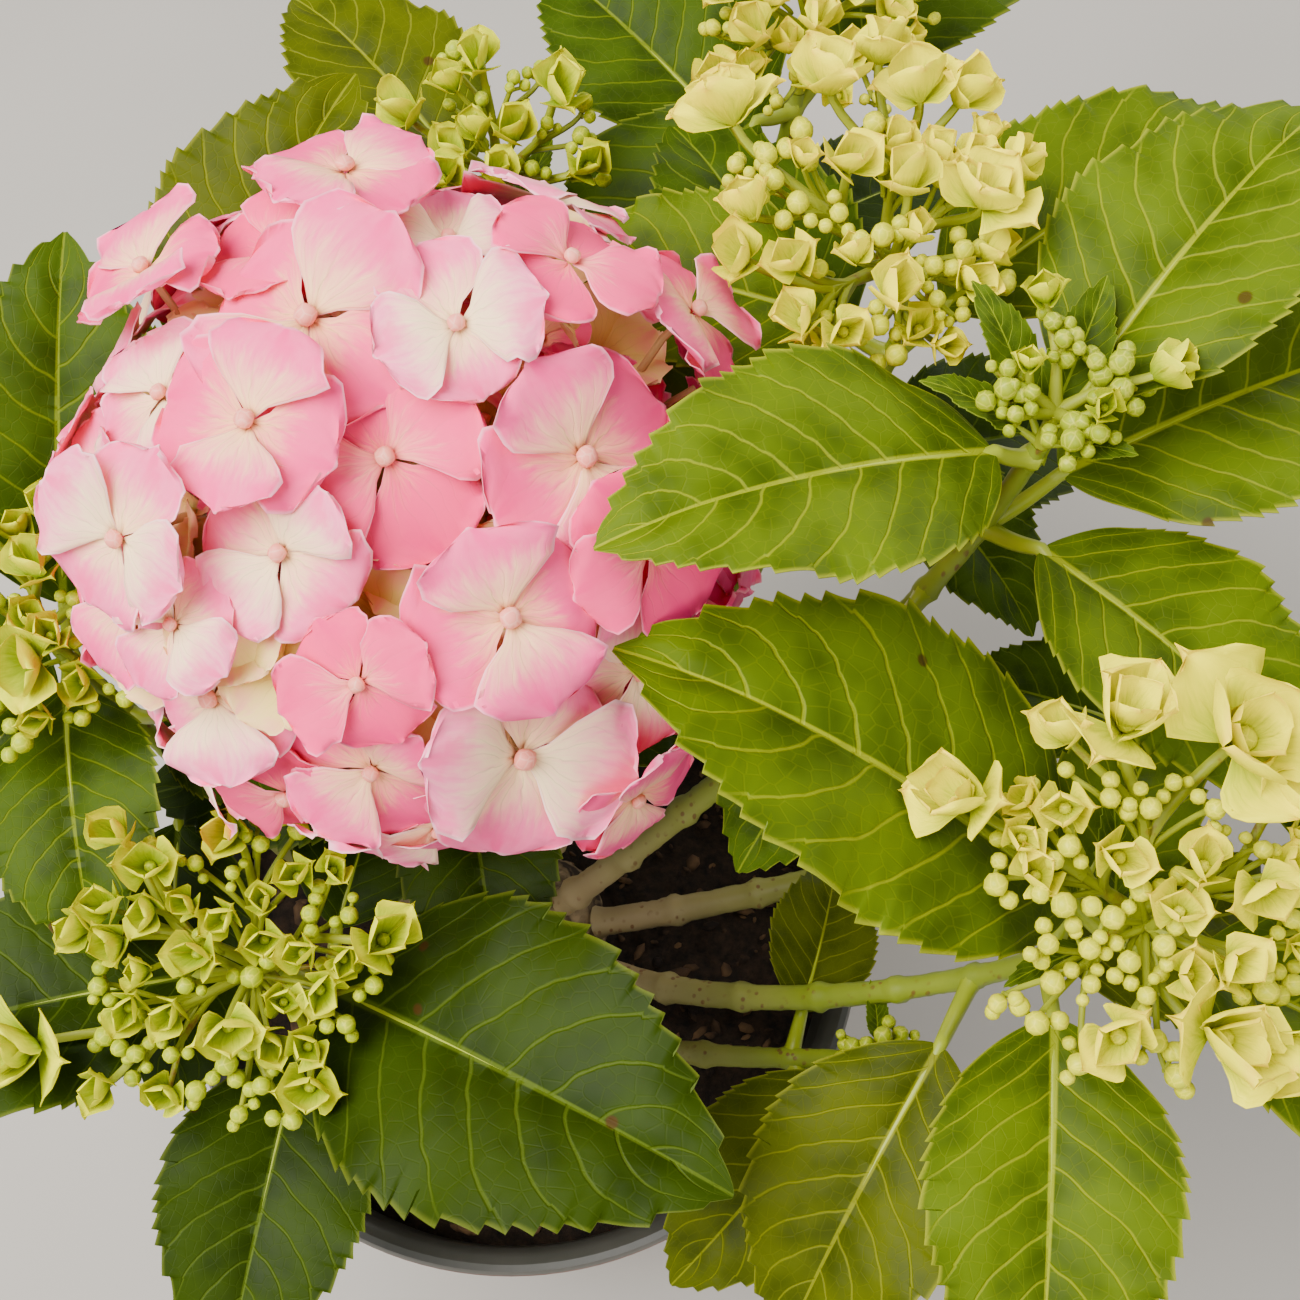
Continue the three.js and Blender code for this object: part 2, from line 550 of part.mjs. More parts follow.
for (let pair = 0; pair < 3; pair += 1) {
  for (const shoot of shoots) {
    for (const leaf of shoot.leaves.filter((l) => l.pair === pair)) {
      const joint = shoot.line.getPointAt(1 - (firstNode + internode * pair) / shoot.length);
      const others = placed.filter((other) => !other.name.endsWith(`_own_${shoot.name}`));
      for (const change of climbs) {
        const climb = leaf.climb + change;
        const base = joint.clone().addScaledVector(heading(leaf.bearing, climb * 0.5 + 32), leaf.stalk);
        const direction = heading(leaf.bearing, climb);
        const blade = leafBlade(base, direction, leaf.length, leaf.roll);
        const guard = leafBlade(base, direction, leaf.length, leaf.roll, 2 * clearance);
        const sunk = base.clone().addScaledVector(direction, 0.06 * leaf.length)
          .add(new THREE.Vector3(0, 0, 0.01 * leaf.length));
        const stalk = rod(joint, sunk, stalkRadius, stalkRadius * 0.7);
        const guardStalk = rod(joint, sunk, stalkRadius + clearance, stalkRadius);
        if (touches(guard, others) || touches(guardStalk, others) || touches(guard, shoot.blades)) continue;
        shoot.fused.push(blade, stalk);
        shoot.blades.push({ body: blade, box: blade.boundingBox() });
        for (const body of [guard, guardStalk]) {
          placed.push({ name: `leaf_own_${shoot.name}`, body, box: body.boundingBox() });
        }
        break;
      }
    }
  }
}
for (const shoot of shoots) {
  add(oneSkin(wasm.Manifold.union(shoot.fused)), `foliage_${shoot.name}`, '#6f8f28', 0.55);
}

export default plant;
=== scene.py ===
import math

import bpy
import numpy as np
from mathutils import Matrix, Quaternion, Vector, noise
from mathutils.bvhtree import BVHTree


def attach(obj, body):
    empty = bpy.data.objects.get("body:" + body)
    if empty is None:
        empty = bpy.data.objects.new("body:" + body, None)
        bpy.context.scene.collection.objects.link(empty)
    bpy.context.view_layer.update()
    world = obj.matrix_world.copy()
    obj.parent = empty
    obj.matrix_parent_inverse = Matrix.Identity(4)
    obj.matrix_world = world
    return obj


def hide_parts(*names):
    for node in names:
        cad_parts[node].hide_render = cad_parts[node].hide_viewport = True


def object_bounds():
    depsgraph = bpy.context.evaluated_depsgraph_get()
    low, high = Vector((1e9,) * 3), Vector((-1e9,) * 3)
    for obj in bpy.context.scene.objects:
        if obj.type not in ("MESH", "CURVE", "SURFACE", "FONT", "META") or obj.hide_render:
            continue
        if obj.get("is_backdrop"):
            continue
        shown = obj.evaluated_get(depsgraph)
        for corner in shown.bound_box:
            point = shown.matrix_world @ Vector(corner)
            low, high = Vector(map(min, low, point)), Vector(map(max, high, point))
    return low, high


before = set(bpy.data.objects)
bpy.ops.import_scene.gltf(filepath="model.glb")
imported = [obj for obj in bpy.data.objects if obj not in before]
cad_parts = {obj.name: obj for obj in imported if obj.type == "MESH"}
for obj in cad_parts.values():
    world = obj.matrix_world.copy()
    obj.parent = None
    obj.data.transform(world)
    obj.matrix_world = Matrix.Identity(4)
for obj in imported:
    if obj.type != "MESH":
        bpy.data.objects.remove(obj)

cad_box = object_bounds()
MM = 0.001

# Studio
# A plain pale floor under soft daylight from the upper left. The camera looks steeply down from
# just above the flowers, 25 degrees off the plumb line, as whoever took the photograph did.

PHOTO = 1300
FOCAL_PIXELS = 1786
SENSOR_MM = 36
LOOKING_DOWN = math.radians(25)
FLOOR_SIZE = 6
FLOOR_GRAIN = 7.0
LAMP_SIZE = 1.2
CROWN_MIDDLE = Vector((0.03, 0.03, 0.28))
CAMERA_PLACE = (0.0405, -0.1602, 0.7088)


def ink(code):
    """The linear colour of an sRGB hex value."""
    parts = [int(code[i:i + 2], 16) / 255 for i in (1, 3, 5)]
    return [c / 12.92 if c <= 0.04045 else ((c + 0.055) / 1.055) ** 2.4 for c in parts] + [1]


def node(tree, kind, wires=None, **settings):
    """Adds a node with its settings, and gives each named socket a value or a link."""
    made = tree.nodes.new(kind)
    for name, value in settings.items():
        setattr(made, name, value)
    for name, value in (wires or {}).items():
        if isinstance(value, bpy.types.NodeSocket):
            tree.links.new(value, made.inputs[name])
        else:
            made.inputs[name].default_value = value
    return made


def finish_named(name, roughness, ior=1.5, specular=0.5, coat=0.0):
    """A new material with its shader, whose plain values stand on the shader's own sockets."""
    material = bpy.data.materials.new(name)
    material.use_nodes = True
    shader = material.node_tree.nodes["Principled BSDF"]
    shader.inputs["Roughness"].default_value = roughness
    shader.inputs["IOR"].default_value = ior
    shader.inputs["Specular IOR Level"].default_value = specular
    shader.inputs["Coat Weight"].default_value = coat
    return material, material.node_tree, shader


def noise_in(tree, scale, detail, **more):
    """A noise pattern in the object's own space. Its scale is in lumps per metre."""
    where = node(tree, "ShaderNodeTexCoord").outputs["Object"]
    wires = {"Vector": where, "Scale": scale, "Detail": detail, **more}
    return node(tree, "ShaderNodeTexNoise", wires).outputs["Fac"]


def mix(tree, share, first, second):
    """Two colours, each an sRGB hex value or a socket, blended by a share."""
    ends = [ink(c) if isinstance(c, str) else c for c in (first, second)]
    return node(tree, "ShaderNodeMix", {0: share, 6: ends[0], 7: ends[1]}, data_type="RGBA").outputs[2]


def ranged(tree, value, low, high, to_low=0.0, to_high=1.0, **settings):
    """A value carried from one span to another, and held at its ends."""
    wires = {"Value": value, "From Min": low, "From Max": high, "To Min": to_low, "To Max": to_high}
    return node(tree, "ShaderNodeMapRange", wires, **settings).outputs[0]


def colour_with(tree, shader, colour, height=None, strength=0.0, deep=0.0):
    """Gives the shader its colour and, where asked, a relief from a height, in metres deep."""
    tree.links.new(colour, shader.inputs["Base Color"])
    if height is not None:
        wires = {"Height": height, "Strength": strength, "Distance": deep}
        tree.links.new(node(tree, "ShaderNodeBump", wires).outputs[0], shader.inputs["Normal"])


bpy.ops.object.select_all(action="DESELECT")
bpy.ops.mesh.primitive_plane_add(size=FLOOR_SIZE, location=(0, 0, 0))
floor = bpy.context.object
floor.name = "studio_floor"
floor_finish, tree, shader = finish_named("pale_studio_floor", 0.8)
colour_with(tree, shader, mix(tree, noise_in(tree, FLOOR_GRAIN, 1.0), "#a39e96", "#aea9a1"))
floor.data.materials.append(floor_finish)
floor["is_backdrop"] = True

camera_data = bpy.data.cameras.new("camera")
camera_data.sensor_width = SENSOR_MM
camera_data.lens = SENSOR_MM * FOCAL_PIXELS / PHOTO
camera = bpy.data.objects.new("camera", camera_data)
camera.location = CAMERA_PLACE
camera.rotation_euler = (LOOKING_DOWN, 0, 0)
bpy.context.collection.objects.link(camera)
bpy.context.scene.camera = camera

for name, place, watts in (
    ("sky_light", (-0.7, -0.1, 1.5), 62),
    ("front_light", (0.5, -1.4, 1.1), 15),
    ("back_light", (0.9, 1.3, 1.0), 15),
):
    lamp = bpy.data.lights.new(name, "AREA")
    lamp.size = LAMP_SIZE
    lamp.energy = watts
    lamp.color = (1.0, 0.98, 0.95)
    light = bpy.data.objects.new(name, lamp)
    light.location = place
    light.rotation_euler = (CROWN_MIDDLE - Vector(place)).to_track_quat("-Z", "Y").to_euler()
    bpy.context.collection.objects.link(light)
world = bpy.data.worlds.new("soft_sky")
world.use_nodes = True
sky = world.node_tree.nodes["Background"]
sky.inputs["Color"].default_value = (0.93, 0.96, 1.0, 1)
sky.inputs["Strength"].default_value = 0.5
bpy.context.scene.world = world

# Nursery pot
# A thin pot of injection moulded polypropylene, made in two layers: terracotta brown outside and dark
# grey inside. The wall widens upward to a collar and a rolled rim, and six holes drain its floor.

POT_HEIGHT = 168
RIM_RADIUS = 106
FOOT_RADIUS = 76
WALL = 2.2
FLOOR = 3
FOOT_EDGE = 3
RIM_ROLL = 7
NECK = RIM_RADIUS - RIM_ROLL + 1
DRAINS = 6
DRAIN_RADIUS = 4.5
DRAIN_CIRCLE = 55


def round_at(reach, turn):
    """The place at a distance from the middle and at a turn round it."""
    return reach * math.cos(turn), reach * math.sin(turn)


def wall_at(height):
    """The outer wall's radius at a height, before the rings that the mould leaves."""
    return FOOT_RADIUS + (NECK - FOOT_RADIUS) * (height - FOOT_EDGE) / (POT_HEIGHT - RIM_ROLL - FOOT_EDGE)


outside = [(FOOT_RADIUS, FOOT_EDGE), (wall_at(14), 14), (wall_at(15) + 0.6, 15), (wall_at(17) + 0.6, 17),
           (wall_at(18), 18), (wall_at(80), 80), (wall_at(136), 136), (wall_at(137) + 1, 137.5),
           (wall_at(160) + 0.6, 160)]
rim = [(RIM_RADIUS - 0.8, POT_HEIGHT - RIM_ROLL), (RIM_RADIUS, POT_HEIGHT - RIM_ROLL + 1.5),
       (RIM_RADIUS, POT_HEIGHT - 3), (RIM_RADIUS - 0.8, POT_HEIGHT - 1), (RIM_RADIUS - 2.6, POT_HEIGHT),
       (RIM_RADIUS - 4.6, POT_HEIGHT - 0.6), (NECK - WALL + 0.6, POT_HEIGHT - 4)]
inside = [(NECK - WALL, POT_HEIGHT - RIM_ROLL), (wall_at(100) - WALL, 100),
          (FOOT_RADIUS - WALL, FLOOR + 1), (FOOT_RADIUS - WALL - 2, FLOOR)]

bpy.ops.object.select_all(action="DESELECT")
bpy.ops.mesh.primitive_cylinder_add(vertices=128, radius=(FOOT_RADIUS - FOOT_EDGE) * MM, depth=1 * MM,
                                    location=(0, 0, 0.5 * MM))
pot = bpy.context.object
pot.name = "nursery_pot"
bpy.ops.object.mode_set(mode="EDIT")
bpy.ops.mesh.select_mode(type="FACE")
bpy.ops.mesh.select_all(action="DESELECT")
bpy.ops.object.mode_set(mode="OBJECT")
for face in pot.data.polygons:
    face.select = face.normal.z > 0.9
bpy.ops.object.mode_set(mode="EDIT")
at_radius, at_height = FOOT_RADIUS - FOOT_EDGE, 1.0
for radius, height in outside + rim + inside:
    bpy.ops.mesh.extrude_region_move(TRANSFORM_OT_translate={"value": (0, 0, (height - at_height) * MM)})
    grow = radius / at_radius
    bpy.ops.transform.resize(value=(grow, grow, 1))
    at_radius, at_height = radius, height
bpy.ops.object.mode_set(mode="OBJECT")
for k in range(DRAINS):
    bpy.ops.object.select_all(action="DESELECT")
    bpy.ops.mesh.primitive_cylinder_add(
        vertices=24, radius=DRAIN_RADIUS * MM, depth=4 * FLOOR * MM,
        location=(*round_at(DRAIN_CIRCLE * MM, 2 * math.pi * k / DRAINS), 0))
    drill = bpy.context.object
    cut = pot.modifiers.new("drain", "BOOLEAN")
    cut.object = drill
    cut.solver = "EXACT"
    bpy.context.view_layer.objects.active = pot
    bpy.ops.object.modifier_apply(modifier="drain")
    bpy.data.objects.remove(drill)
bpy.ops.object.select_all(action="DESELECT")
pot.select_set(True)
bpy.context.view_layer.objects.active = pot
bpy.ops.object.transform_apply(location=True, rotation=True, scale=True)
bpy.ops.object.shade_smooth_by_angle(angle=math.radians(32))

# Moulded polypropylene: a faint satin gloss, with scuffs that catch the light and pale dusty patches.
shell, tree, shader = finish_named("moulded_polypropylene_terracotta", 0.42, ior=1.49)
scuffs = noise_in(tree, 90.0, 6.0, Roughness=0.7)
body_tint = mix(tree, noise_in(tree, 14.0, 3.0), "#54210f", "#692d18")
dusty = mix(tree, ranged(tree, scuffs, 0.55, 0.8, 0.0, 0.35), body_tint, "#8c6650")
colour_with(tree, shader, dusty, scuffs, 0.15, 0.4 * MM)
tree.links.new(ranged(tree, scuffs, 0.0, 1.0, 0.34, 0.58), shader.inputs["Roughness"])

# The dark inner layer of the same plastic, greyer and shinier where the rim is rolled.
lining, tree, shader = finish_named("moulded_polypropylene_grey", 0.32, ior=1.49)
scuffs = noise_in(tree, 110.0, 5.0, Roughness=0.65)
colour_with(tree, shader, mix(tree, scuffs, "#34362f", "#4d4a44"), scuffs, 0.2, 0.4 * MM)

pot.data.materials.append(shell)
pot.data.materials.append(lining)
for face in pot.data.polygons:
    outward = face.normal.x * face.center.x + face.normal.y * face.center.y
    high = face.center.z > (POT_HEIGHT - 2.5) * MM
    face.material_index = int(high or (outward < 0 and face.center.z > 0.002) or
                              (face.normal.z > 0.5 and face.center.z < 0.01))
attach(pot, "root")
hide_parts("pot")

# Potting peat
# Damp, dark peat with bark crumbs and a few pale fibres, filled by hand to a finger's width below
# the rim and settled into a low uneven mound.

SOIL_TOP = POT_HEIGHT - 17
SOIL_SHOWN = 14
CRUMBS = 620


def joined(name, parts, finish, replaced=(), maps=("OFBake",), sharp=40):
    """One mesh from many parts. A part is its points in millimetres, its quads, its triangles,
    and for each map one place per point."""
    points, quads, tris, places = [], [], [], {m: [] for m in maps}
    count = 0
    for part in parts:
        own_points, own_quads, own_tris = part[:3]
        points.append(np.asarray(own_points, dtype=np.float64))
        if len(own_quads):
            quads.append(np.asarray(own_quads) + count)
        if len(own_tris):
            tris.append(np.asarray(own_tris) + count)
        for index, label in enumerate(maps):
            places[label].append(np.asarray(part[3 + index], dtype=np.float64))
        count += len(own_points)
    points = np.concatenate(points) * MM
    quads = np.concatenate(quads) if quads else np.zeros((0, 4), int)
    tris = np.concatenate(tris) if tris else np.zeros((0, 3), int)
    corners = np.concatenate([quads.ravel(), tris.ravel()]).astype(np.int32)
    starts = np.concatenate([np.arange(len(quads)) * 4, len(quads) * 4 + np.arange(len(tris)) * 3])
    mesh = bpy.data.meshes.new(name)
    mesh.vertices.add(len(points))
    mesh.vertices.foreach_set("co", points.astype(np.float32).ravel())
    mesh.loops.add(len(corners))
    mesh.loops.foreach_set("vertex_index", corners)
    mesh.polygons.add(len(starts))
    mesh.polygons.foreach_set("loop_start", starts.astype(np.int32))
    mesh.update(calc_edges=True)
    mesh.polygons.foreach_set("use_smooth", np.ones(len(starts), dtype=bool))
    for label in maps:
        layer = mesh.uv_layers.new(name=label, do_init=False)
        spread = np.concatenate(places[label])[corners]
        layer.uv.foreach_set("vector", spread.astype(np.float32).ravel())
    mesh.validate()
    piece = bpy.data.objects.new(name, mesh)
    bpy.context.collection.objects.link(piece)
    mesh.materials.append(finish)
    bpy.ops.object.select_all(action="DESELECT")
    piece.select_set(True)
    bpy.context.view_layer.objects.active = piece
    bpy.ops.object.shade_smooth_by_angle(angle=math.radians(sharp))
    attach(piece, "root")
    if replaced:
        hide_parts(*replaced)
    return piece


def seeded(seed):
    """Seeded random numbers, the same on every run and the same as in the part's own source."""
    full = 0xFFFFFFFF
    state = seed & full

    def draw():
        nonlocal state
        state = (state + 0x6D2B79F5) & full
        mixed = ((state ^ (state >> 15)) * (state | 1)) & full
        mixed ^= (mixed + (((mixed ^ (mixed >> 7)) * (mixed | 61)) & full)) & full
        return (mixed ^ (mixed >> 14)) / 4294967296

    return draw


def sleeve(rings, sides, start=0):
    """The quads between rings of points, from one ring to the next."""
    first = [start + i * sides for i in range(rings - 1)]
    return [(a + k, a + (k + 1) % sides, a + sides + (k + 1) % sides, a + sides + k)
            for a in first for k in range(sides)]


def cap(middle, start, sides):
    """The triangles that close a ring of points onto a middle point, seen from the far side."""
    return [(middle, start + (k + 1) % sides, start + k) for k in range(sides)]


def lid(middle, start, sides):
    """The same triangles seen from the near side."""
    return [(middle, start + k, start + (k + 1) % sides) for k in range(sides)]


def peat_height(x, y):
    """The peat's height: a low mound with lumps and grains, sunk where it meets the wall."""
    place = Vector((x * 0.05, y * 0.05, 3.1))
    lumps = 3.2 * noise.fractal(place, 0.9, 2.1, 5)
    fine = 0.9 * noise.noise(Vector((x * 0.45, y * 0.45, 8.2)))
    edge = max(0.0, (math.hypot(x, y) / 95) ** 6) * 2
    return SOIL_TOP - 2.6 + lumps + fine - edge


peat_rings, peat_sides = 64, 160
neck = NECK - WALL - 1.4
points = []
for i in range(peat_rings + 1):
    radius = 0.6 + (neck - 0.6) * i / peat_rings
    for k in range(peat_sides):
        x, y = round_at(radius, 2 * math.pi * k / peat_sides)
        points.append((x, y, min(peat_height(x, y), SOIL_TOP + 1)))
for k in range(peat_sides):
    points.append((*round_at(neck - 2, 2 * math.pi * k / peat_sides), SOIL_TOP - SOIL_SHOWN))
quads = [(a, d, c, b) for a, b, c, d in sleeve(peat_rings + 2, peat_sides)]
tris = lid(len(points), 0, peat_sides)
tris += cap(len(points) + 1, (peat_rings + 1) * peat_sides, peat_sides)
points += [(0, 0, peat_height(0, 0)), (0, 0, SOIL_TOP - SOIL_SHOWN)]

# Damp peat: nearly black, matt, with brown fibres and a slight wet sheen on the lumps.
peat, tree, shader = finish_named("damp_fibrous_peat", 0.82, ior=1.4, specular=0.35)
crumb = noise_in(tree, 260.0, 8.0, Roughness=0.7)
dark_to_brown = mix(tree, ranged(tree, crumb, 0.35, 0.75), "#0c0805", "#3b2a1c")
colour_with(tree, shader, dark_to_brown, crumb, 0.9, 1.6 * MM)
joined("potting_peat", [(points, quads, tris)], peat, ["potting_soil"], (), 60)


def ball_faces(sides, rings):
    """The faces of a ball whose points run from its lowest, ring by ring, to its top."""
    top = 1 + (rings - 1) * sides
    return sleeve(rings - 1, sides, 1), cap(0, 1, sides) + lid(top, top - sides, sides)


def lump(centre, sizes, turn, random):
    """A small uneven lump: a ball pulled to three sizes, with its points shaken."""
    sides, rings = 6, 4
    points = [(0, 0, -1.0)]
    for i in range(1, rings):
        tilt = math.pi * i / rings
        for k in range(sides):
            around = 2 * math.pi * k / sides
            out = 0.82 + 0.36 * random()
            points.append((out * math.sin(tilt) * math.cos(around), out * math.sin(tilt) * math.sin(around),
                           -out * math.cos(tilt)))
    points.append((0, 0, 1.0))
    points = np.asarray(points) * np.asarray(sizes)
    c, s = math.cos(turn), math.sin(turn)
    points = points @ np.array([[c, s, 0], [-s, c, 0], [0, 0, 1]]) + np.asarray(centre)
    return points, *ball_faces(sides, rings)


# Bark crumbs: brown, matt chips with paler fibres among them.
chips, tree, shader = finish_named("composted_bark_chips", 0.85, specular=0.3)
patches = ranged(tree, noise_in(tree, 75.0, 5.0), 0.4, 0.72)
colour_with(tree, shader, mix(tree, patches, "#1a0f08", "#7a5b3c"))
random = seeded(900)
crumbs = []
for k in range(CRUMBS):
    reach = (neck - 3) * math.sqrt(random())
    x, y = round_at(reach, 2 * math.pi * random())
    size = 0.6 + 2.1 * random() ** 3
    long = 1 + 1.6 * random()
    crumbs.append(lump((x, y, peat_height(x, y) + 0.25 * size), (size * long, size, size * 0.6),
                       6.3 * random(), random))
joined("bark_crumbs", crumbs, chips, maps=(), sharp=60)

# Growth
# The shoots of one young shrub. Each leaves the woody crown, bends up and ends in a flower head or a
# leafy tip. These are the sizes of the part's own source, so that everything grows on from its limbs.

CROWN_RADIUS = 26
SEAT_GAP = 0.3
CANE_FOOT = 4.4
CANE_TIP = 3.1
SHOOT_TIP = 2.3
INTERNODE = 27
FIRST_NODE = 5
LEAF_WIDTH = 0.64
LEAF_WIDEST = 0.42
LEAF_ARCH = 0.07
STALK_SHARE = 0.24
STALK_RADIUS = 2
CROWN_FLOOR = SOIL_TOP + SEAT_GAP
CROWN_SUNK = 3
KNUCKLE = 1.6
LINE_STEPS = 200

# A shoot's row has its tip, its foot's bearing and climb, the length of its leafy part and of its
# leaves, the turn of its first pair, its pairs, and what was set for single leaves: bearing, climb,
# length and stalk.
SHOOT_KEYS = ("name", "tip", "foot", "leafy", "leaf", "turn", "pairs", "set")
SHOOTS = [dict(zip(SHOOT_KEYS, row)) for row in (
    ("middle", (-12, 36, 258), (122, 58), 62, 88, 75, 2,
     {0: (100, 4, 92, 22), 1: (-80, -8, 66, 20), 2: (-170, 0, 74, 20), 3: (10, -4, 70, 20)}),
    ("front_left", (-60, -35, 240), (218, 30), 58, 92, -29, 2,
     {0: (-29, 5, 122, 24), 1: (-166, 2, 92, 22), 2: (-100, -7, 84, 26), 3: (78, -4, 60, 16)}),
    ("left", (-119, 44, 272), (180, 30), 84, 90, 86, 3,
     {0: (86, 36, 98, 16), 1: (-78, -6, 74, 14), 2: (175, 8, 84, 20), 3: (-20, -10, 52, 14)}),
    ("back_right", (104, 106, 326), (64, 58), 92, 92, 28, 3,
     {0: (28, 14, 96, 18), 1: (164, -2, 78, 18), 2: (118, 6, 86, 20), 3: (-52, -12, 60, 18)}),
    ("right", (129, 53, 362), (12, 58), 96, 92, -160, 3,
     {0: (-160, 5, 96, 14), 1: (48, 15, 92, 16), 2: (-44, -8, 90, 18), 3: (22, 4, 96, 22),
      4: (-125, -17, 72, 18), 5: (60, -8, 76, 20)}),
    ("front_right", (151, -45, 306), (-34, 30), 84, 94, 157, 3,
     {0: (157, 23, 122, 18), 1: (-27, -10, 92, 18), 2: (-95, -14, 92, 18), 3: (62, 20, 58, 16),
      4: (-120, -24, 88, 24), 5: (14, -12, 72, 22)}),
    ("low_right", (104, -54, 214), (-68, 28), 50, 62, -133, 2,
     {0: (-133, -14, 74, 10), 1: (163, 26, 62, 10), 2: (-62, -14, 56, 14), 3: (75, -6, 50, 14)}),
    ("back", (-2, 172, 292), (110, 30), 84, 84, 120, 3,
     {}),
    ("back_left", (-88, 112, 290), (146, 30), 78, 90, 59, 3,
     {0: (59, 27, 94, 10), 1: (-150, -8, 70, 16), 2: (150, 4, 86, 18)}),
    ("far_back", (82, 196, 318), (78, 28), 88, 88, -142, 3,
     {0: (-142, -9, 86, 14), 1: (40, 8, 84, 16), 2: (118, 4, 86, 18)}),
    ("side_right", (182, 22, 262), (0, 24), 66, 76, 30, 2,
     {0: (-10, -6, 76, 16), 1: (165, 6, 50, 12), 2: (-70, -14, 62, 16), 3: (70, -8, 66, 16)}),
)]


def heading(bearing, climb):
    """A direction from its bearing and its climb, both in degrees."""
    turn, rise = math.radians(bearing), math.radians(climb)
    return Vector((math.cos(rise) * math.cos(turn), math.cos(rise) * math.sin(turn), math.sin(rise)))


def evenly(steps):
    """Even shares of a length, from its start to its end."""
    return [i / steps for i in range(steps + 1)]


class Line:
    """A shoot's line from the crown to its tip, walked by shares of its length."""

    def __init__(self, corners):
        self.corners = corners
        walk = [self.bend(t) for t in evenly(LINE_STEPS)]
        self.reached = [0.0]
        for a, b in zip(walk, walk[1:]):
            self.reached.append(self.reached[-1] + (b - a).length)
        self.length = self.reached[-1]

    def bend(self, t):
        a, b, c, d = self.corners
        return a * (1 - t) ** 3 + 3 * b * t * (1 - t) ** 2 + 3 * c * t * t * (1 - t) + d * t ** 3

    def at(self, share):
        return self.bend(float(np.interp(share * self.length, self.reached, evenly(LINE_STEPS))))


for shoot in SHOOTS:
    outward = heading(*shoot["foot"])
    foot = Vector((0, 0, CROWN_FLOOR)) + outward * (CROWN_RADIUS + SEAT_GAP)
    tip = Vector(shoot["tip"])
    span = (tip - foot).length
    rise = Vector(((tip.x - foot.x) * 0.35, (tip.y - foot.y) * 0.35, tip.z - foot.z)).normalized()
    shoot["way"] = rise
    shoot["line"] = Line([foot, foot + outward * span * 0.3, tip - rise * span * 0.42, tip])
    shoot["split"] = 1 - shoot["leafy"] / shoot["line"].length


RUN_SCALE = 420


def tube(walk, radii, sides, relief=0.0):
    """A closed tube through the places given, with a radius at each and, where asked, an uneven skin.
    Its map runs round and along."""
    walk = [Vector(p) for p in walk]
    ways = [(walk[min(i + 1, len(walk) - 1)] - walk[max(i - 1, 0)]).normalized() for i in range(len(walk))]
    side = ways[0].orthogonal().normalized()
    points, places, run = [], [], 0.0
    for i, (middle, way, radius) in enumerate(zip(walk, ways, radii)):
        side = (side - way * side.dot(way)).normalized()
        other = way.cross(side)
        run += (walk[i] - walk[i - 1]).length if i else 0
        for k in range(sides):
            turn = 2 * math.pi * k / sides
            outward = side * math.cos(turn) + other * math.sin(turn)
            knob = relief * noise.noise((middle + outward * radius) * 0.5) if relief else 0.0
            points.append(middle + outward * radius * (1 + knob))
            places.append((k / sides, run / RUN_SCALE))
    count = len(points)
    tris = cap(count, 0, sides) + lid(count + 1, count - sides, sides)
    points += [walk[0], walk[-1]]
    places += [(0, 0), (0, run / RUN_SCALE)]
    return np.asarray(points), sleeve(len(walk), sides), tris, np.asarray(places)


# The crown is old wood, cut back each year: a knuckled stump with brown fissured bark.
bpy.ops.object.select_all(action="DESELECT")
bpy.ops.mesh.primitive_ico_sphere_add(subdivisions=6, radius=CROWN_RADIUS * 1.02 * MM,
                                      location=(0, 0, CROWN_FLOOR * MM))
crown = bpy.context.object
crown.name = "woody_crown"
bpy.ops.object.mode_set(mode="EDIT")
bpy.ops.mesh.select_all(action="SELECT")
bpy.ops.mesh.bisect(plane_co=(0, 0, (CROWN_FLOOR - CROWN_SUNK) * MM), plane_no=(0, 0, 1), use_fill=True,
                    clear_inner=True)
bpy.ops.object.mode_set(mode="OBJECT")
for point in crown.data.vertices:
    if point.co.z > -2 * MM:
        knuckle = noise.fractal(point.co * 95, 0.8, 2.2, 5)
        point.co += point.co.normalized() * KNUCKLE * MM * (knuckle - 0.35)
bpy.ops.object.transform_apply(location=True, rotation=True, scale=True)
bpy.ops.object.shade_smooth_by_angle(angle=math.radians(60))
old_wood, tree, shader = finish_named("weathered_hydrangea_bark", 0.85, specular=0.3)
fissure = noise_in(tree, 130.0, 7.0, Distortion=1.2)
furrowed = mix(tree, ranged(tree, fissure, 0.36, 0.68), "#2e2115", "#9a8260")
colour_with(tree, shader, furrowed, fissure, 0.8, 1 * MM)
crown.data.materials.append(old_wood)
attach(crown, "root")
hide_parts("root_crown")

# Canes: last year's wood is tan at the foot and turns to this year's smooth green stem, with brown
# corky flecks and a swollen ring where each pair of leaves stood. Its map tells how far along it is.
bark, tree, shader = finish_named("green_hydrangea_stem", 0.5, ior=1.42, specular=0.45)
where = node(tree, "ShaderNodeTexCoord").outputs["Object"]
run = node(tree, "ShaderNodeSeparateXYZ", {0: node(tree, "ShaderNodeUVMap", uv_map="OFBake").outputs[0]})
green = ranged(tree, run.outputs["Y"], 20 / RUN_SCALE, 85 / RUN_SCALE)
patches = noise_in(tree, 60.0, 4.0)
base = mix(tree, green, mix(tree, patches, "#8a7350", "#a9966b"), mix(tree, patches, "#66780c", "#8c9828"))
drawn_out = node(tree, "ShaderNodeMapping", {0: where, "Scale": (1.0, 1.0, 0.35)}).outputs[0]
pores = node(tree, "ShaderNodeTexVoronoi", {"Vector": drawn_out, "Scale": 420.0, "Randomness": 1.0})
spots = ranged(tree, pores.outputs["Distance"], 0.2, 0.32, 0.75, 0.0)
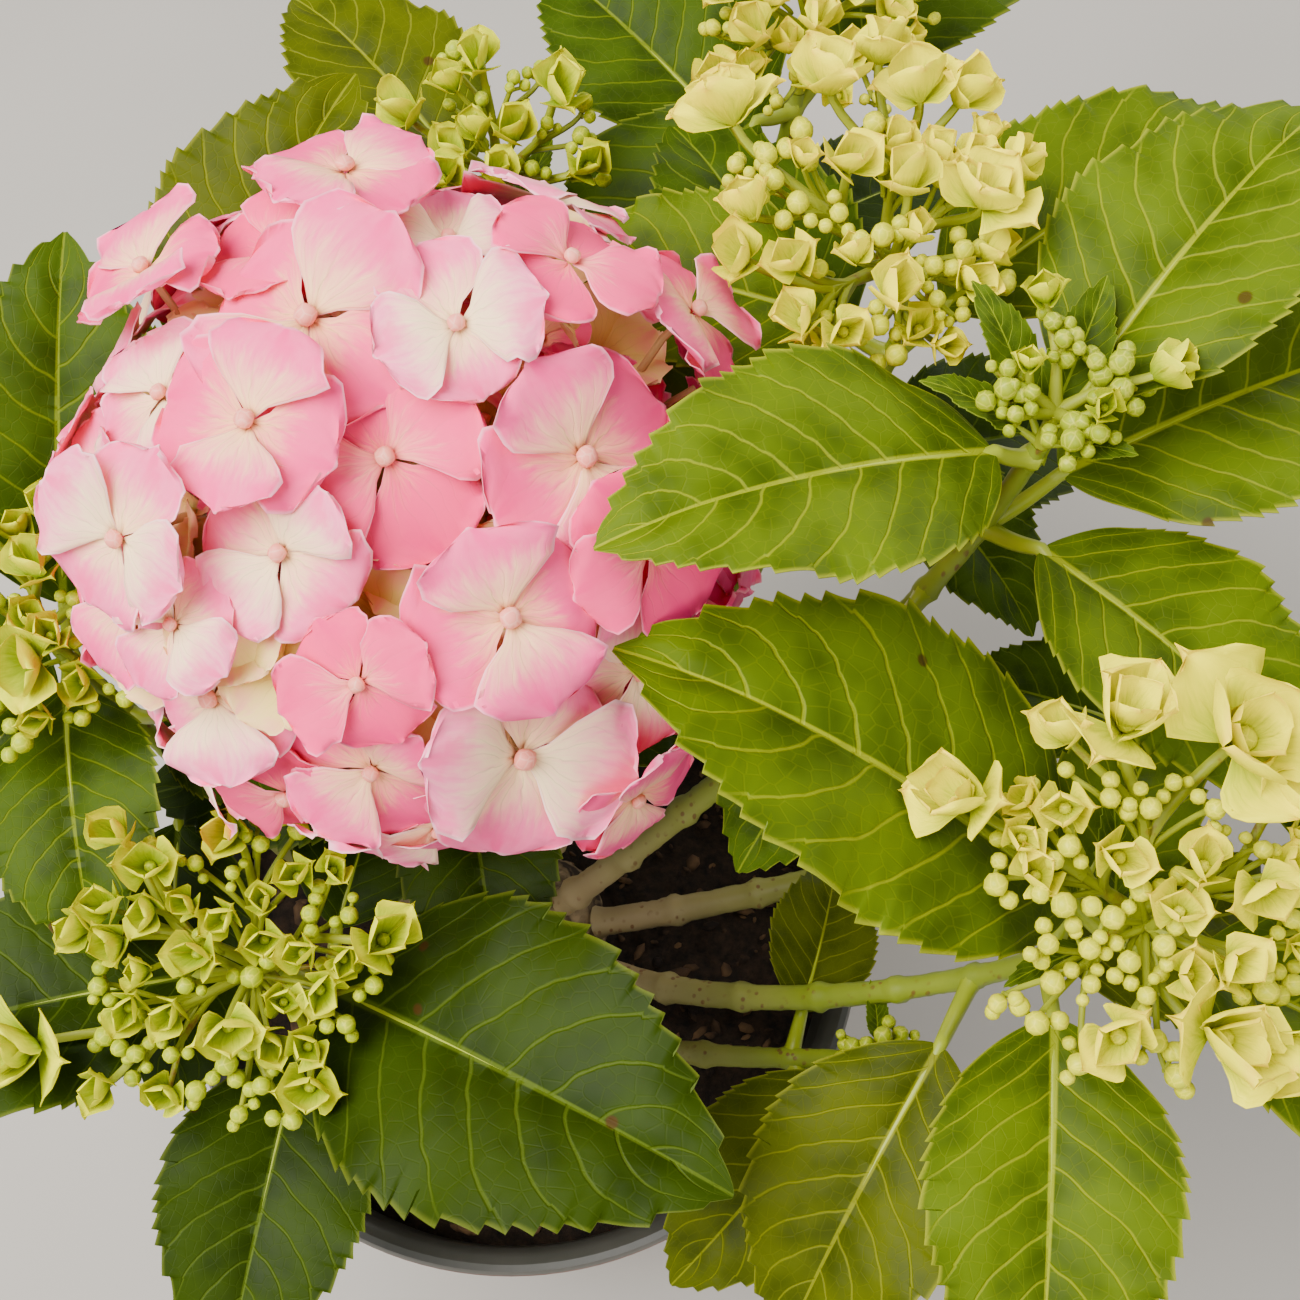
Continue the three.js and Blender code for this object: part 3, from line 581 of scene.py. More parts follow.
some = ranged(tree, noise_in(tree, 120.0, 2.0), 0.45, 0.6)
fleck = node(tree, "ShaderNodeMath", {0: spots, 1: some}, operation="MULTIPLY").outputs[0]
colour_with(tree, shader, mix(tree, fleck, base, "#6b3a22"), fleck, 0.4, 0.4 * MM)


STEM_STEP = 1.6
STEM_SIDES = 14
STEM_KNOBS = 0.09
NODE_SWELL = 0.28
NODE_SPREAD = 2.2


def stem_radius(shoot, share):
    """The stem's radius at a share of the line, with a swelling at each place where leaves stand."""
    split = shoot["split"]
    if share < split:
        plain = CANE_FOOT + (CANE_TIP - CANE_FOOT) * share / split
    else:
        plain = CANE_TIP + (SHOOT_TIP - CANE_TIP) * (share - split) / (1 - split)
    from_tip = (1 - share) * shoot["line"].length - FIRST_NODE
    nearest = abs(from_tip - INTERNODE * round(max(from_tip, 0) / INTERNODE))
    return plain * (1 + NODE_SWELL * math.exp(-(nearest / NODE_SPREAD) ** 2))


stems = []
for shoot in SHOOTS:
    shares = evenly(int(shoot["line"].length / STEM_STEP))
    stems.append(tube([shoot["line"].at(s) for s in shares], [stem_radius(shoot, s) for s in shares],
                      STEM_SIDES, STEM_KNOBS))
joined("canes", stems, bark, [f"cane_{shoot['name']}" for shoot in SHOOTS], sharp=60)

# Leaves
# Pointed oval leaves with coarse forward teeth, a pale sunken midrib, veins that arch to the margin
# and a quilted blade between them. They stand in opposite pairs on short stout stalks.

SKYWARD = Vector((0, 0, 1))
TEETH = 18
STEPS_PER_TOOTH = 6
LEAF_ACROSS = 14
BLADE_THICK = 0.5
VEIN_START = 0.05
VEIN_STEP = 0.115
VEIN_LEAN = (0.17, 0.09)
TOOTH_DEPTH = 0.021
QUILT_DEPTH = 0.0085
GROOVE_DEPTH = 0.009
FRILL = 0.012
TIP_CURL = 0.035


def two_sided(points, down, rows, cols):
    """Closes a grid of points into a thin blade: its face, its back and the rim between them."""
    index = np.arange(rows * cols).reshape(rows, cols)
    a, b, c, d = index[:-1, :-1], index[1:, :-1], index[1:, 1:], index[:-1, 1:]
    face = np.stack([a, b, c, d], axis=-1).reshape(-1, 4)
    back = rows * cols
    ring = np.concatenate([index[:, 0], index[-1, 1:], index[-2::-1, -1], index[0, -2:0:-1]])
    after = np.roll(ring, -1)
    rim = np.stack([ring, ring + back, after + back, after], axis=-1)
    return np.concatenate([points, points - down]), np.concatenate([face, face[:, ::-1] + back, rim]), []


def across_leaf(direction, roll):
    """The way across a leaf that runs in a direction and is rolled about it."""
    level = SKYWARD.cross(direction).normalized()
    level.rotate(Quaternion(direction, roll))
    return level


def leaf_outline(along):
    """Half a leaf's width as a share of its widest, at shares of its length from the stalk."""
    shoulder = LEAF_WIDEST / (1 - LEAF_WIDEST)
    widest = LEAF_WIDEST ** shoulder * (1 - LEAF_WIDEST)
    return along ** shoulder * (1 - along) / widest


def leaf_blade(base, direction, length, roll, random, slim=1.0, teeth=TEETH, cells=LEAF_ACROSS):
    """A leaf's points, quads and maps: upper side, underside and the rim between them."""
    level = across_leaf(direction, roll)
    up = direction.cross(level)
    along = np.linspace(0.006, 0.996, teeth * STEPS_PER_TOOTH + 1)[:, None]
    across = np.linspace(-1, 1, cells + 1)[None, :]
    far = np.abs(across)
    half = slim * length * LEAF_WIDTH / 2 * leaf_outline(along)
    uneven = 0.4 * np.sin(along * 19 + 6.3 * random()) + 0.45 * (across > 0)
    phase = (along * teeth + uneven) % 1.0
    tooth = phase ** 1.3 * np.clip((along - 0.1) * 12, 0, 1) * np.clip((1 - along) * 14, 0.15, 1)
    tip_pull = np.clip((along - 0.86) / 0.14, 0, 1) ** 2
    reach = half * (1 - 0.25 * tip_pull * (1 - along)) * far + TOOTH_DEPTH * length * tooth * far ** 6
    x = along * length + 0.012 * length * tooth * far ** 4
    y = reach * np.sign(across)
    lean = along - VEIN_LEAN[0] * far - VEIN_LEAN[1] * far ** 2 + 0.02 * np.sign(across)
    ridge = np.abs(np.sin(np.pi * (lean - VEIN_START) / VEIN_STEP)) ** 0.7
    quilt = QUILT_DEPTH * length * (ridge - 0.75) * np.clip(far * 5, 0, 1) * np.clip((1 - far) * 2.5, 0, 1)
    fade = np.clip((along - 0.03) * 10, 0, 1) * np.clip((1 - along) * 7, 0, 1)
    groove = -GROOVE_DEPTH * length * np.exp(-(y / 1.8) ** 2) * fade
    wave_a, wave_b = random() * 6.3, random() * 6.3
    frill = FRILL * length * far ** 3 * (np.sin(along * 17 + wave_a) + 0.6 * np.sin(along * 31 + wave_b))
    fold = np.abs(y) * (0.30 - 0.16 * far)
    arch = 4 * LEAF_ARCH * length * along * (1 - along)
    curl = -TIP_CURL * length * np.clip((along - 0.72) / 0.28, 0, 1) ** 2
    z = arch + fold + (quilt + frill) * fade + groove + curl
    x = np.broadcast_to(x, z.shape)
    frame3 = np.array([direction, level, up])
    top = np.stack([x, y, z], axis=-1).reshape(-1, 3) @ frame3 + np.array(base)
    thick = BLADE_THICK * np.broadcast_to(0.55 + 0.45 * (1 - far ** 3), z.shape)
    blade = two_sided(top, thick.reshape(-1, 1) * np.array(up), *z.shape)
    grid = np.stack([np.broadcast_to(along, z.shape).ravel(),
                     (np.broadcast_to(across, z.shape).ravel() + 1) / 2], axis=-1)
    bake = 0.02 + grid * np.array([0.96, 0.46])
    span = np.stack([x.ravel() / length, 0.5 + y.ravel() / length], axis=-1)
    side = np.zeros_like(grid)
    return (*blade, np.concatenate([bake, bake + np.array([0, 0.5])]), np.concatenate([grid, grid]),
            np.concatenate([span, span]), np.concatenate([side, side + 1]))


LEAF_MAPS = ("OFBake", "grid", "span", "side")


def shading(tree):
    """Three short hands for a pattern: arithmetic, a soft step between two values, and a blend."""
    def sums(operation, first, second=0.0, third=0.0):
        return node(tree, "ShaderNodeMath", {0: first, 1: second, 2: third}, operation=operation).outputs[0]

    def band(value, low, high, to_low=0.0, to_high=1.0):
        return ranged(tree, value, low, high, to_low, to_high, interpolation_type="SMOOTHSTEP")

    def blend(share, first, second):
        return mix(tree, share, first, second)

    return sums, band, blend


def flat_noise(tree, place, scale, detail):
    """A noise pattern that lies in a piece's own map."""
    return node(tree, "ShaderNodeTexNoise", {"Vector": place, "Scale": scale, "Detail": detail},
                noise_dimensions="2D").outputs["Fac"]


def leaf_finish(name, dark, light, vein, margin):
    """A leaf's material: waxy and satin above, with a pale midrib, arching veins and a fine net."""
    finish, tree, shader = finish_named(name, 0.45, ior=1.45, specular=0.1)
    sums, band, blend = shading(tree)
    grid, span, side = (node(tree, "ShaderNodeUVMap", uv_map=label).outputs[0] for label in LEAF_MAPS[1:])
    parts = node(tree, "ShaderNodeSeparateXYZ", {0: grid})
    along, across = parts.outputs["X"], sums("MULTIPLY_ADD", parts.outputs["Y"], 2.0, -1.0)
    far = sums("ABSOLUTE", across)
    half_width = node(tree, "ShaderNodeSeparateXYZ", {0: span}).outputs["Y"]
    beside = sums("ABSOLUTE", sums("SUBTRACT", half_width, 0.5))

    # Side veins leave the midrib at even steps, lean forward, and wander a little.
    lean = sums("SUBTRACT", along, sums("MULTIPLY", far, VEIN_LEAN[0]))
    lean = sums("SUBTRACT", lean, sums("MULTIPLY", sums("MULTIPLY", far, far), VEIN_LEAN[1]))
    lean = sums("MULTIPLY_ADD", sums("SIGN", across), 0.02, lean)
    lean = sums("MULTIPLY_ADD", flat_noise(tree, span, 9.0, 1.0), 0.03, sums("SUBTRACT", lean, 0.015))
    phase = sums("DIVIDE", sums("SUBTRACT", lean, VEIN_START), VEIN_STEP)
    from_vein = sums("PINGPONG", phase, 0.5)
    veins = sums("MULTIPLY", band(from_vein, 0.015, 0.06, 1.0, 0.0), band(far, 0.8, 1.0, 1.0, 0.25))
    midrib_width = band(along, 0.0, 1.0, 0.0125, 0.0035)
    midrib = sums("SUBTRACT", 1.0, band(sums("DIVIDE", beside, midrib_width), 0.55, 1.2))
    net_place = node(tree, "ShaderNodeMapping", {0: span, "Scale": (1.0, 1.25, 1.0)}).outputs[0]
    net = node(tree, "ShaderNodeTexVoronoi", {"Vector": net_place, "Scale": 26.0, "Randomness": 0.95},
               feature="DISTANCE_TO_EDGE", voronoi_dimensions="2D").outputs["Distance"]
    net = band(net, 0.015, 0.075, 1.0, 0.0)

    clouds = flat_noise(tree, span, 5.0, 2.0)
    colour = blend(band(clouds, 0.3, 0.7), dark, light)
    colour = blend(band(from_vein, 0.06, 0.42, 0.35, 0.0), colour, light)
    colour = blend(sums("MULTIPLY", net, 0.09), colour, vein)
    colour = blend(sums("MULTIPLY", veins, 0.64), colour, vein)
    colour = blend(midrib, colour, vein)
    colour = blend(band(far, 0.955, 1.0, 0.0, 0.55), colour, margin)
    where = node(tree, "ShaderNodeTexCoord").outputs["Object"]
    specks = node(tree, "ShaderNodeTexVoronoi", {"Vector": where, "Scale": 30.0, "Randomness": 1.0})
    colour = blend(band(specks.outputs["Distance"], 0.035, 0.06, 0.8, 0.0), colour, "#3f2508")
    under = node(tree, "ShaderNodeSeparateXYZ", {0: side}).outputs["X"]
    colour = blend(under, colour, blend(0.5, colour, "#74863a"))
    sunk = sums("ADD", sums("MULTIPLY", veins, 0.7), sums("MULTIPLY", net, 0.1))
    colour_with(tree, shader, colour, sums("SUBTRACT", 1.0, sunk), 0.55, 0.6 * MM)
    rough = sums("MULTIPLY_ADD", clouds, 0.16, 0.42)
    tree.links.new(sums("MULTIPLY_ADD", under, 0.25, rough), shader.inputs["Roughness"])
    return finish


# Fresh leaf: waxy skin. The first three tints are lit and shaded copies of one leaf colour: the top one,
# yellow-green, is painted light for the sunlit leaves at the top of the plant, the next is half in
# shade, and deep, duller and bluer, is painted shade for the leaves low down.
LEAF_TINTS = {
    "sunlit": ("#384900", "#516400", "#848c0c", "#9c9e22"),
    "mid": ("#273800", "#384c00", "#626f0a", "#7e861e"),
    "deep": ("#1d2c00", "#293a00", "#46560e", "#626c1c"),
    "olive": ("#374000", "#4b5300", "#767a0e", "#868820"),
    "young": ("#34460a", "#4a5e08", "#7c8a14", "#94a028"),
}
leaf_tint = {name: leaf_finish(f"hydrangea_leaf_{name}", *codes) for name, codes in LEAF_TINTS.items()}

# The tint of each shoot's leaves, by pair from the top down: the painted light of the top tint for
# leaves in the sun, and the painted shade of deep for the low ones and those under the heads.
SHOOT_TINTS = {
    "middle": ("deep", "deep"), "front_left": ("deep", "deep"), "left": ("mid", "mid", "deep"),
    "back_right": ("sunlit", "mid", "deep"), "right": ("sunlit", "sunlit", "mid"),
    "front_right": ("sunlit", "sunlit", "olive"), "low_right": ("olive", "olive"),
    "back": ("olive", "mid", "deep"), "back_left": ("olive", "mid", "deep"),
    "far_back": ("mid", "mid", "deep"), "side_right": ("mid", "mid"),
}

# A leaf that would leave its solid tries these changes of its climb, in degrees.
CLIMBS = (0, 6, -6, 12, -12, 18, -18, 25, -25, 32)
TIP_ROOM = 1.5
BASE_ROOM = 4
STALK_SAG = 0.096
STALK_STEPS = 12
RIB_STEPS = 18
RIB_SHARE = 0.72


def cad_surface(name):
    """The surface of one of the part's solids, in millimetres, to measure distances to."""
    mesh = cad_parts[name].data
    return BVHTree.FromPolygons([p.co / MM for p in mesh.vertices], [f.vertices for f in mesh.polygons])


leaf_parts = {name: [] for name in LEAF_TINTS}
stalk_parts = []
for number, shoot in enumerate(SHOOTS):
    random = seeded(100 + number)
    line = shoot["line"]
    solid = cad_surface(f"foliage_{shoot['name']}")
    for pair in range(shoot["pairs"]):
        for side in range(2):
            wobble = (random() - 0.5) * 24
            shrink = 0.92 ** pair * (0.94 + 0.12 * random())
            roll = (random() - 0.5) * 0.5
            rule = (shoot["turn"] + 90 * pair + 180 * side + wobble, 6 - 9 * pair, shoot["leaf"] * shrink,
                    shoot["leaf"] * STALK_SHARE)
            bearing, climb, length, stalk = shoot["set"].get(pair * 2 + side, rule)
            joint = line.at(1 - (FIRST_NODE + INTERNODE * pair) / line.length)
            for change in CLIMBS:
                base = joint + heading(bearing, (climb + change) * 0.5 + 32) * stalk
                direction = heading(bearing, climb + change)
                tip = base + direction * length
                if solid.find_nearest(tip)[3] < TIP_ROOM and solid.find_nearest(base)[3] < BASE_ROOM:
                    break
            else:
                continue
            shaken = seeded(5000 + number * 10 + pair * 2 + side)
            # The tint paints light and shade on the leaf by where it stands on the plant.
            tint = SHOOT_TINTS[shoot["name"]][min(pair, len(SHOOT_TINTS[shoot["name"]]) - 1)]
            leaf_parts[tint].append(leaf_blade(base, direction, length, roll, shaken))
            up = direction.cross(across_leaf(direction, roll))
            walk, radii = [], []
            for t in evenly(STALK_STEPS):
                walk.append(joint.lerp(base, t) - SKYWARD * STALK_SAG * stalk * math.sin(math.pi * t))
                radii.append(STALK_RADIUS * (1.25 - 0.35 * t + 0.5 * math.exp(-(t * stalk / 2.2) ** 2)))
            for t in (RIB_SHARE * step for step in evenly(RIB_STEPS)[1:]):
                under = 4 * LEAF_ARCH * length * t * (1 - t) - GROOVE_DEPTH * length - BLADE_THICK
                size = STALK_RADIUS * 0.9 * (1 - t / 0.74)
                walk.append(base + direction * t * length + up * (under - size * 0.5 + 0.2))
                radii.append(max(size, 0.25))
            stalk_parts.append(tube(walk, radii, 8))

# Young leaves stand narrow and steep round the youngest heads.
YOUNG = [
    ("right", 1.0, 118, 30, 34, 0.6), ("right", 1.0, 164, 24, 27, 0.6), ("right", 1.0, 66, 32, 34, 0.62),
    ("right", 1.0, -30, 30, 18, 0.6), ("front_right", 0.97, 96, 40, 34, 0.5),
    ("front_right", 0.97, 205, 12, 26, 0.45), ("low_right", 1.0, 100, 40, 18, 0.55),
    ("low_right", 1.0, -80, 30, 16, 0.55), ("back_right", 0.96, 195, 10, 28, 0.5),
    ("side_right", 1.0, 80, 58, 26, 0.55), ("side_right", 1.0, -100, 55, 24, 0.55),
    ("side_right", 1.0, 10, 62, 18, 0.5), ("back_left", 1.0, 160, 58, 24, 0.55),
    ("back_left", 1.0, -20, 55, 22, 0.55), ("left", 0.97, -140, 20, 24, 0.5), ("back", 0.97, 60, 25, 26, 0.5),
]
for count, (name, share, bearing, climb, length, slim) in enumerate(YOUNG):
    line = next(s["line"] for s in SHOOTS if s["name"] == name)
    joint = line.at(share)
    base = joint + heading(bearing, climb * 0.6 + 20) * 6
    direction = heading(bearing, climb)
    leaf_parts["young"].append(leaf_blade(base, direction, length, 0.2, seeded(7000 + count), slim, 10, 8))
    walk = [joint.lerp(base, t) for t in evenly(5)] + [base + direction * 2]
    stalk_parts.append(tube(walk, [1.2 - 0.08 * i for i in range(7)], 8))

for name, parts in leaf_parts.items():
    if parts:
        joined(f"leaves_{name}", parts, leaf_tint[name],
               [f"foliage_{s['name']}" for s in SHOOTS] if name == "sunlit" else (), LEAF_MAPS, sharp=50)

# Leaf stalks: juicy and pale green.
stalk_skin, tree, shader = finish_named("leaf_stalk_skin", 0.4, ior=1.42, specular=0.45)
colour_with(tree, shader, mix(tree, noise_in(tree, 70.0, 3.0), "#82920c", "#a4ac2c"))
joined("leaf_stalks", stalk_parts, stalk_skin, sharp=60)

# Flower heads
# Corymbs: a stalk parts at a hub into rays, and each ray into flower stalks. The open head is pink, with
# broad sepals; the younger ones are cream, lime or green, with half-open florets and round buds.

HEAD_LEAN = math.radians(25)
RIGHT = Vector((1, 0, 0))
UP = Vector((0, math.cos(HEAD_LEAN), math.sin(HEAD_LEAN)))
OUT = Vector((0, -math.sin(HEAD_LEAN), math.cos(HEAD_LEAN)))
GOLDEN = math.pi * (3 - math.sqrt(5))
HUB_SHARE = 0.62
SECTORS = 6
INNER_SHARE = 0.36
RAY_SHARE = 0.62
SPARE_BUDS = 0.55
PAIRED_BUDS = 0.7
CUP_SWAY = 0.7
FILL = 0.82
DENSITY = {"cream": 3.1, "lime": 2.6, "green": 1.2}
HALF_OPEN = {"cream": 0.6, "lime": 0.36, "green": 0.0}


def dome_place(head, x, y, out, rise):
    """A place on a head, given across, up and out as seen from its front, and the way it faces."""
    place = Vector(head["middle"]) + RIGHT * x + UP * y + OUT * out
    facing = RIGHT * (x / head["radius"] ** 2) + UP * (y / head["radius"] ** 2) + OUT * (out / rise ** 2)
    return place, facing.normalized()


def on_dome(head, x, y, sunk=0.0):
    """A place on the front of a head, sunk into it by some millimetres, and the way it faces."""
    rise = head["rise"]
    out = rise * math.sqrt(max(0.0, 1 - (x * x + y * y) / head["radius"] ** 2))
    place, facing = dome_place(head, x, y, out, rise)
    return place - facing * sunk, facing


def crossways(facing, spin):
    """Gives the directions that lie across a facing, by their turn from a spin."""
    side = Vector((math.cos(spin), math.sin(spin), 0.3)).cross(facing).normalized()
    other = facing.cross(side)
    return lambda turn: side * math.cos(turn) + other * math.sin(turn)


SEPAL_THICK = 0.32
CLAW_DEPTH = 0.78
CLAW_LENGTH = 0.23


def sepal(place, facing, axis, width, shape, random, cells=10, hug=0.0):
    """One sepal, growing from the floret's middle along its own axis. The shape gives its length and
    half width as shares of the floret's, its tip's point, how it rises along and cups across. A
    round one is narrow at its claw, and a hugging one closes over the floret's middle."""
    long, broad, point, rise, cup, lift = shape
    other = facing.cross(axis).normalized()
    t = 1 - (1 - np.linspace(0.0, 1.0, cells + 1)[:, None]) ** 1.5
    s = np.linspace(-1, 1, cells + 1)[None, :]
    fullness = 0.5 - 0.06 * t + 0.6 * point
    outline = np.sin(np.pi * (0.03 + 0.965 * t) ** (1.45 - 0.25 * point)) ** fullness
    a, b, c = random() * 6.3, random() * 6.3, random() * 6.3
    edge = 1 + 0.05 * np.sin(2.4 * np.pi * t + a) * np.sign(s) + 0.03 * np.sin(5 * t * np.pi + b)
    edge = edge + 0.03 * np.sin(8 * np.pi * t + c) * np.sign(s)
    claw = 1 - CLAW_DEPTH * (1 - point) ** 3 * np.exp(-(t / CLAW_LENGTH) ** 2)
    half = np.clip(outline * edge * claw, 0.03, None) * broad * width
    reach = long * width
    x = 0.02 * width + reach * (t - hug * t ** 2 - 0.05 * (1 - point) * np.abs(s) ** 2.2 * t ** 6)
    x = x - 0.42 * hug * width * s ** 2 * outline
    x = x + 0.03 * reach * np.sin(s * 3.1 + c) * t ** 3
    x = x + 0.16 * point * reach * np.exp(-(s / 0.4) ** 2) * t ** 8
    y = s * half
    height = rise[0] * t + rise[1] * t ** 2 + rise[2] * t ** 4
    wave = 0.038 * np.abs(s) ** 2 * (np.sin(9.5 * t + a) + 0.7 * np.sin(15 * t * s + b)) * t
    fold = 0.016 * np.exp(-(s / 0.16) ** 2) * (1 - t) + 0.05 * point * np.exp(-(s / 0.3) ** 2) * t
    slant = 0.05 * (random() - 0.5) * s * outline
    z = width * (height + cup * s ** 2 * outline + wave - fold + slant) + lift * np.clip(3 * t, 0, 1)
    x, z = x + 0 * s, z + 0 * s
    points = x.reshape(-1, 1) * np.array(axis) + y.reshape(-1, 1) * np.array(other)
    points = points + z.reshape(-1, 1) * np.array(facing) + np.array(place)
    grid = np.stack([(t + 0 * s).ravel(), ((s + 1) / 2 + 0 * t).ravel()], axis=-1)
    bake = 0.02 + grid * np.array([0.96, 0.94]) + np.array([0, 0.01])
    blade = two_sided(points, np.array(facing) * SEPAL_THICK, cells + 1, cells + 1)
    return (*blade, np.concatenate([bake, bake]), np.concatenate([grid, grid]))


BUD_RINGS = 6


def bead(centre, facing, radius, spin, long, lobes=0.03, sides=10):
    """A small round bud, with four faint lobes where its sepals meet."""
    outward = crossways(facing, spin)
    around = [(2 * math.pi * k / sides, outward(2 * math.pi * k / sides)) for k in range(sides)]
    points = [centre - facing * radius * long]
    for i in range(1, BUD_RINGS):
        tilt = math.pi * i / BUD_RINGS
        for turn, way in around:
            out = radius * math.sin(tilt) * (1 + lobes * math.cos(4 * turn))
            points.append(centre + way * out - facing * radius * long * math.cos(tilt))
    points.append(centre + facing * radius * long * (1 - 0.6 * lobes))
    places = [(0.5, 0.0)] + [(k / sides, i / BUD_RINGS) for i in range(1, BUD_RINGS) for k in range(sides)]
    return np.asarray(points), *ball_faces(sides, BUD_RINGS), np.asarray(places + [(0.5, 1.0)])


STALK_BOW = 0.28


def stalk_between(foot, away, flower, back, thick):
    """A flower's stalk, which leaves its ray slantwise and comes up under the flower."""
    reach = (flower - foot).length
    a, b = foot + away * reach * STALK_BOW, flower - back * reach * STALK_BOW
    walk = [foot * (1 - t) ** 3 + 3 * a * t * (1 - t) ** 2 + 3 * b * t * t * (1 - t) + flower * t ** 3
            for t in evenly(7)]
    return tube(walk, [thick * (1.25 - 0.35 * t) for t in evenly(7)], 6)


# A head's row has its middle, its radius, how far it rises, how much its flowers look up, the share
# of it that is filled, its looser buds, its tint, its clusters and its florets that show from the
# front: across, up and width.
HEAD_KEYS = ("name", "middle", "radius", "rise", "nod", "fill", "buds", "tint", "groups", "cups")
HEADS = [dict(zip(HEAD_KEYS, row)) for row in (
    ("front_left", (-60, -42, 268), 60, 20, 0.0, 0.66, 10, "lime", [],
     [(-54, -19, 27), (36, 9, 17), (-30, 34, 14), (-21, 27, 15), (-2, 35, 14), (-39, 11, 12),
      (-9, 6, 14), (-1, -12, 16), (18, -27, 15), (-34, -28, 12)]),
    ("left", (-118, 40, 298), 42, 16, 0.2, FILL, 5, "lime", [],
     [(5, -11, 20), (6, 13, 16), (-7, 18, 14), (10, -4, 12), (-10, -8, 14), (-24, 3, 18), (-20, -20, 16),
      (-29, 17, 14)]),
    ("back_right", (93, 112, 366), 46, 22, 0.55, FILL, 5, "cream", [],
     [(-34, 23, 22), (-11, 30, 19), (1, 37, 16), (9, 26, 18), (20, 26, 16), (24, 1, 22), (32, 10, 14),
      (-30, 0, 13), (-32, -11, 15), (-18, -26, 14), (-8, -29, 13), (3, -20, 16), (-7, 9, 15), (6, 5, 16),
      (-20, -13, 14)]),
    ("front_right", (147, -45, 334), 50, 20, 0.1, FILL, 8, "cream", [],
     [(18, 35, 34), (-6, 39, 26), (-19, 37, 14), (13, -27, 26), (-40, 22, 22), (-9, -27, 17),
      (29, 25, 19), (-9, 11, 14), (8, 10, 14), (21, 4, 16), (15, -11, 14), (26, -31, 20)]),
    ("right", (131, 56, 378), 26, 9, 0.1, FILL, 6, "green", [(-12, 1), (3, -8), (0, 13), (11, 3)],
     [(22, 5, 13), (-5, 21, 10), (-9, 6, 8), (7, -4, 9)]),
    ("low_right", (102, -58, 226), 20, 8, 0.0, FILL, 4, "green", [(-8, 2), (7, -5), (3, 9)],
     [(-9, -3, 9), (6, 4, 8)]),
    ("back", (-2, 174, 318), 38, 16, 0.4, FILL, 4, "lime", [],
     [(-24, 8, 16), (-4, 22, 15), (18, 14, 17), (26, -6, 14), (-14, -10, 15), (6, 2, 14)]),
    ("far_back", (84, 200, 346), 42, 18, 0.4, FILL, 4, "cream", [],
     [(-28, 10, 18), (-8, 26, 17), (16, 22, 19), (30, 2, 16), (-16, -12, 15), (8, 0, 16)]),
)]

ends = {shoot["name"]: (Vector(shoot["tip"]) + shoot["way"] * SEAT_GAP, shoot["way"]) for shoot in SHOOTS}

sepals = {name: [] for name in ("rose", "rose_low", "pink", "pink_low", "blush", "blush_low", "peach",
                                "cream", "lime")}
buds = {name: [] for name in ("rose", "cream", "lime", "green")}
rays = {"blush": [], "green": []}
sprigs = []


CROWDED = 0.36
LEAF_ROOM = 1.5


def head_stalk(head, share, past, thick, taper, sides):
    """The stalk from the shoot's tip to the hub, which stands at a share of the way to the head."""
    foot, way = ends[head["name"]]
    hub = foot.lerp(Vector(head["middle"]), share)
    bend, end = foot + way * (hub - foot).length * 0.5, hub + OUT * past
    shares = evenly(14)
    walk = [foot * (1 - t) ** 2 + bend * 2 * t * (1 - t) + end * t * t for t in shares]
    rays["green"].append(tube(walk, [thick - taper * t for t in shares], sides))
    return hub


def rays_to(head, hub, flowers, thick, store):
    """Rays from the hub to each sector of the head, with the flowers' stalks leaving them in turn."""
    groups = {}
    for flower in flowers:
        away = flower["place"] - hub
        x, y = away.dot(RIGHT), away.dot(UP)
        turn = (math.atan2(y, x) + math.pi) / (2 * math.pi)
        inner = math.hypot(x, y) < head["radius"] * INNER_SHARE
        groups.setdefault(-1 if inner else int(turn * SECTORS) % SECTORS, []).append(flower)
    for group in groups.values():
        mean = sum((f["place"] for f in group), Vector()) / len(group)
        end = hub.lerp(mean, RAY_SHARE)
        along = (end - hub).normalized()
        walk = [hub.lerp(end, t) for t in evenly(10)]
        store.append(tube(walk, [thick * (1.15 - 0.5 * t) for t in evenly(10)], 8))
        group.sort(key=lambda f: (f["place"] - hub).length)
        for k, flower in enumerate(group):
            foot = hub.lerp(end, 0.35 + 0.6 * (k + 0.5) / len(group))
            neck = flower["place"] - flower["facing"] * flower["neck"] * flower["width"]
            store.append(stalk_between(foot, along, neck, flower["facing"], flower["stalk"]))
            flower["foot"] = foot


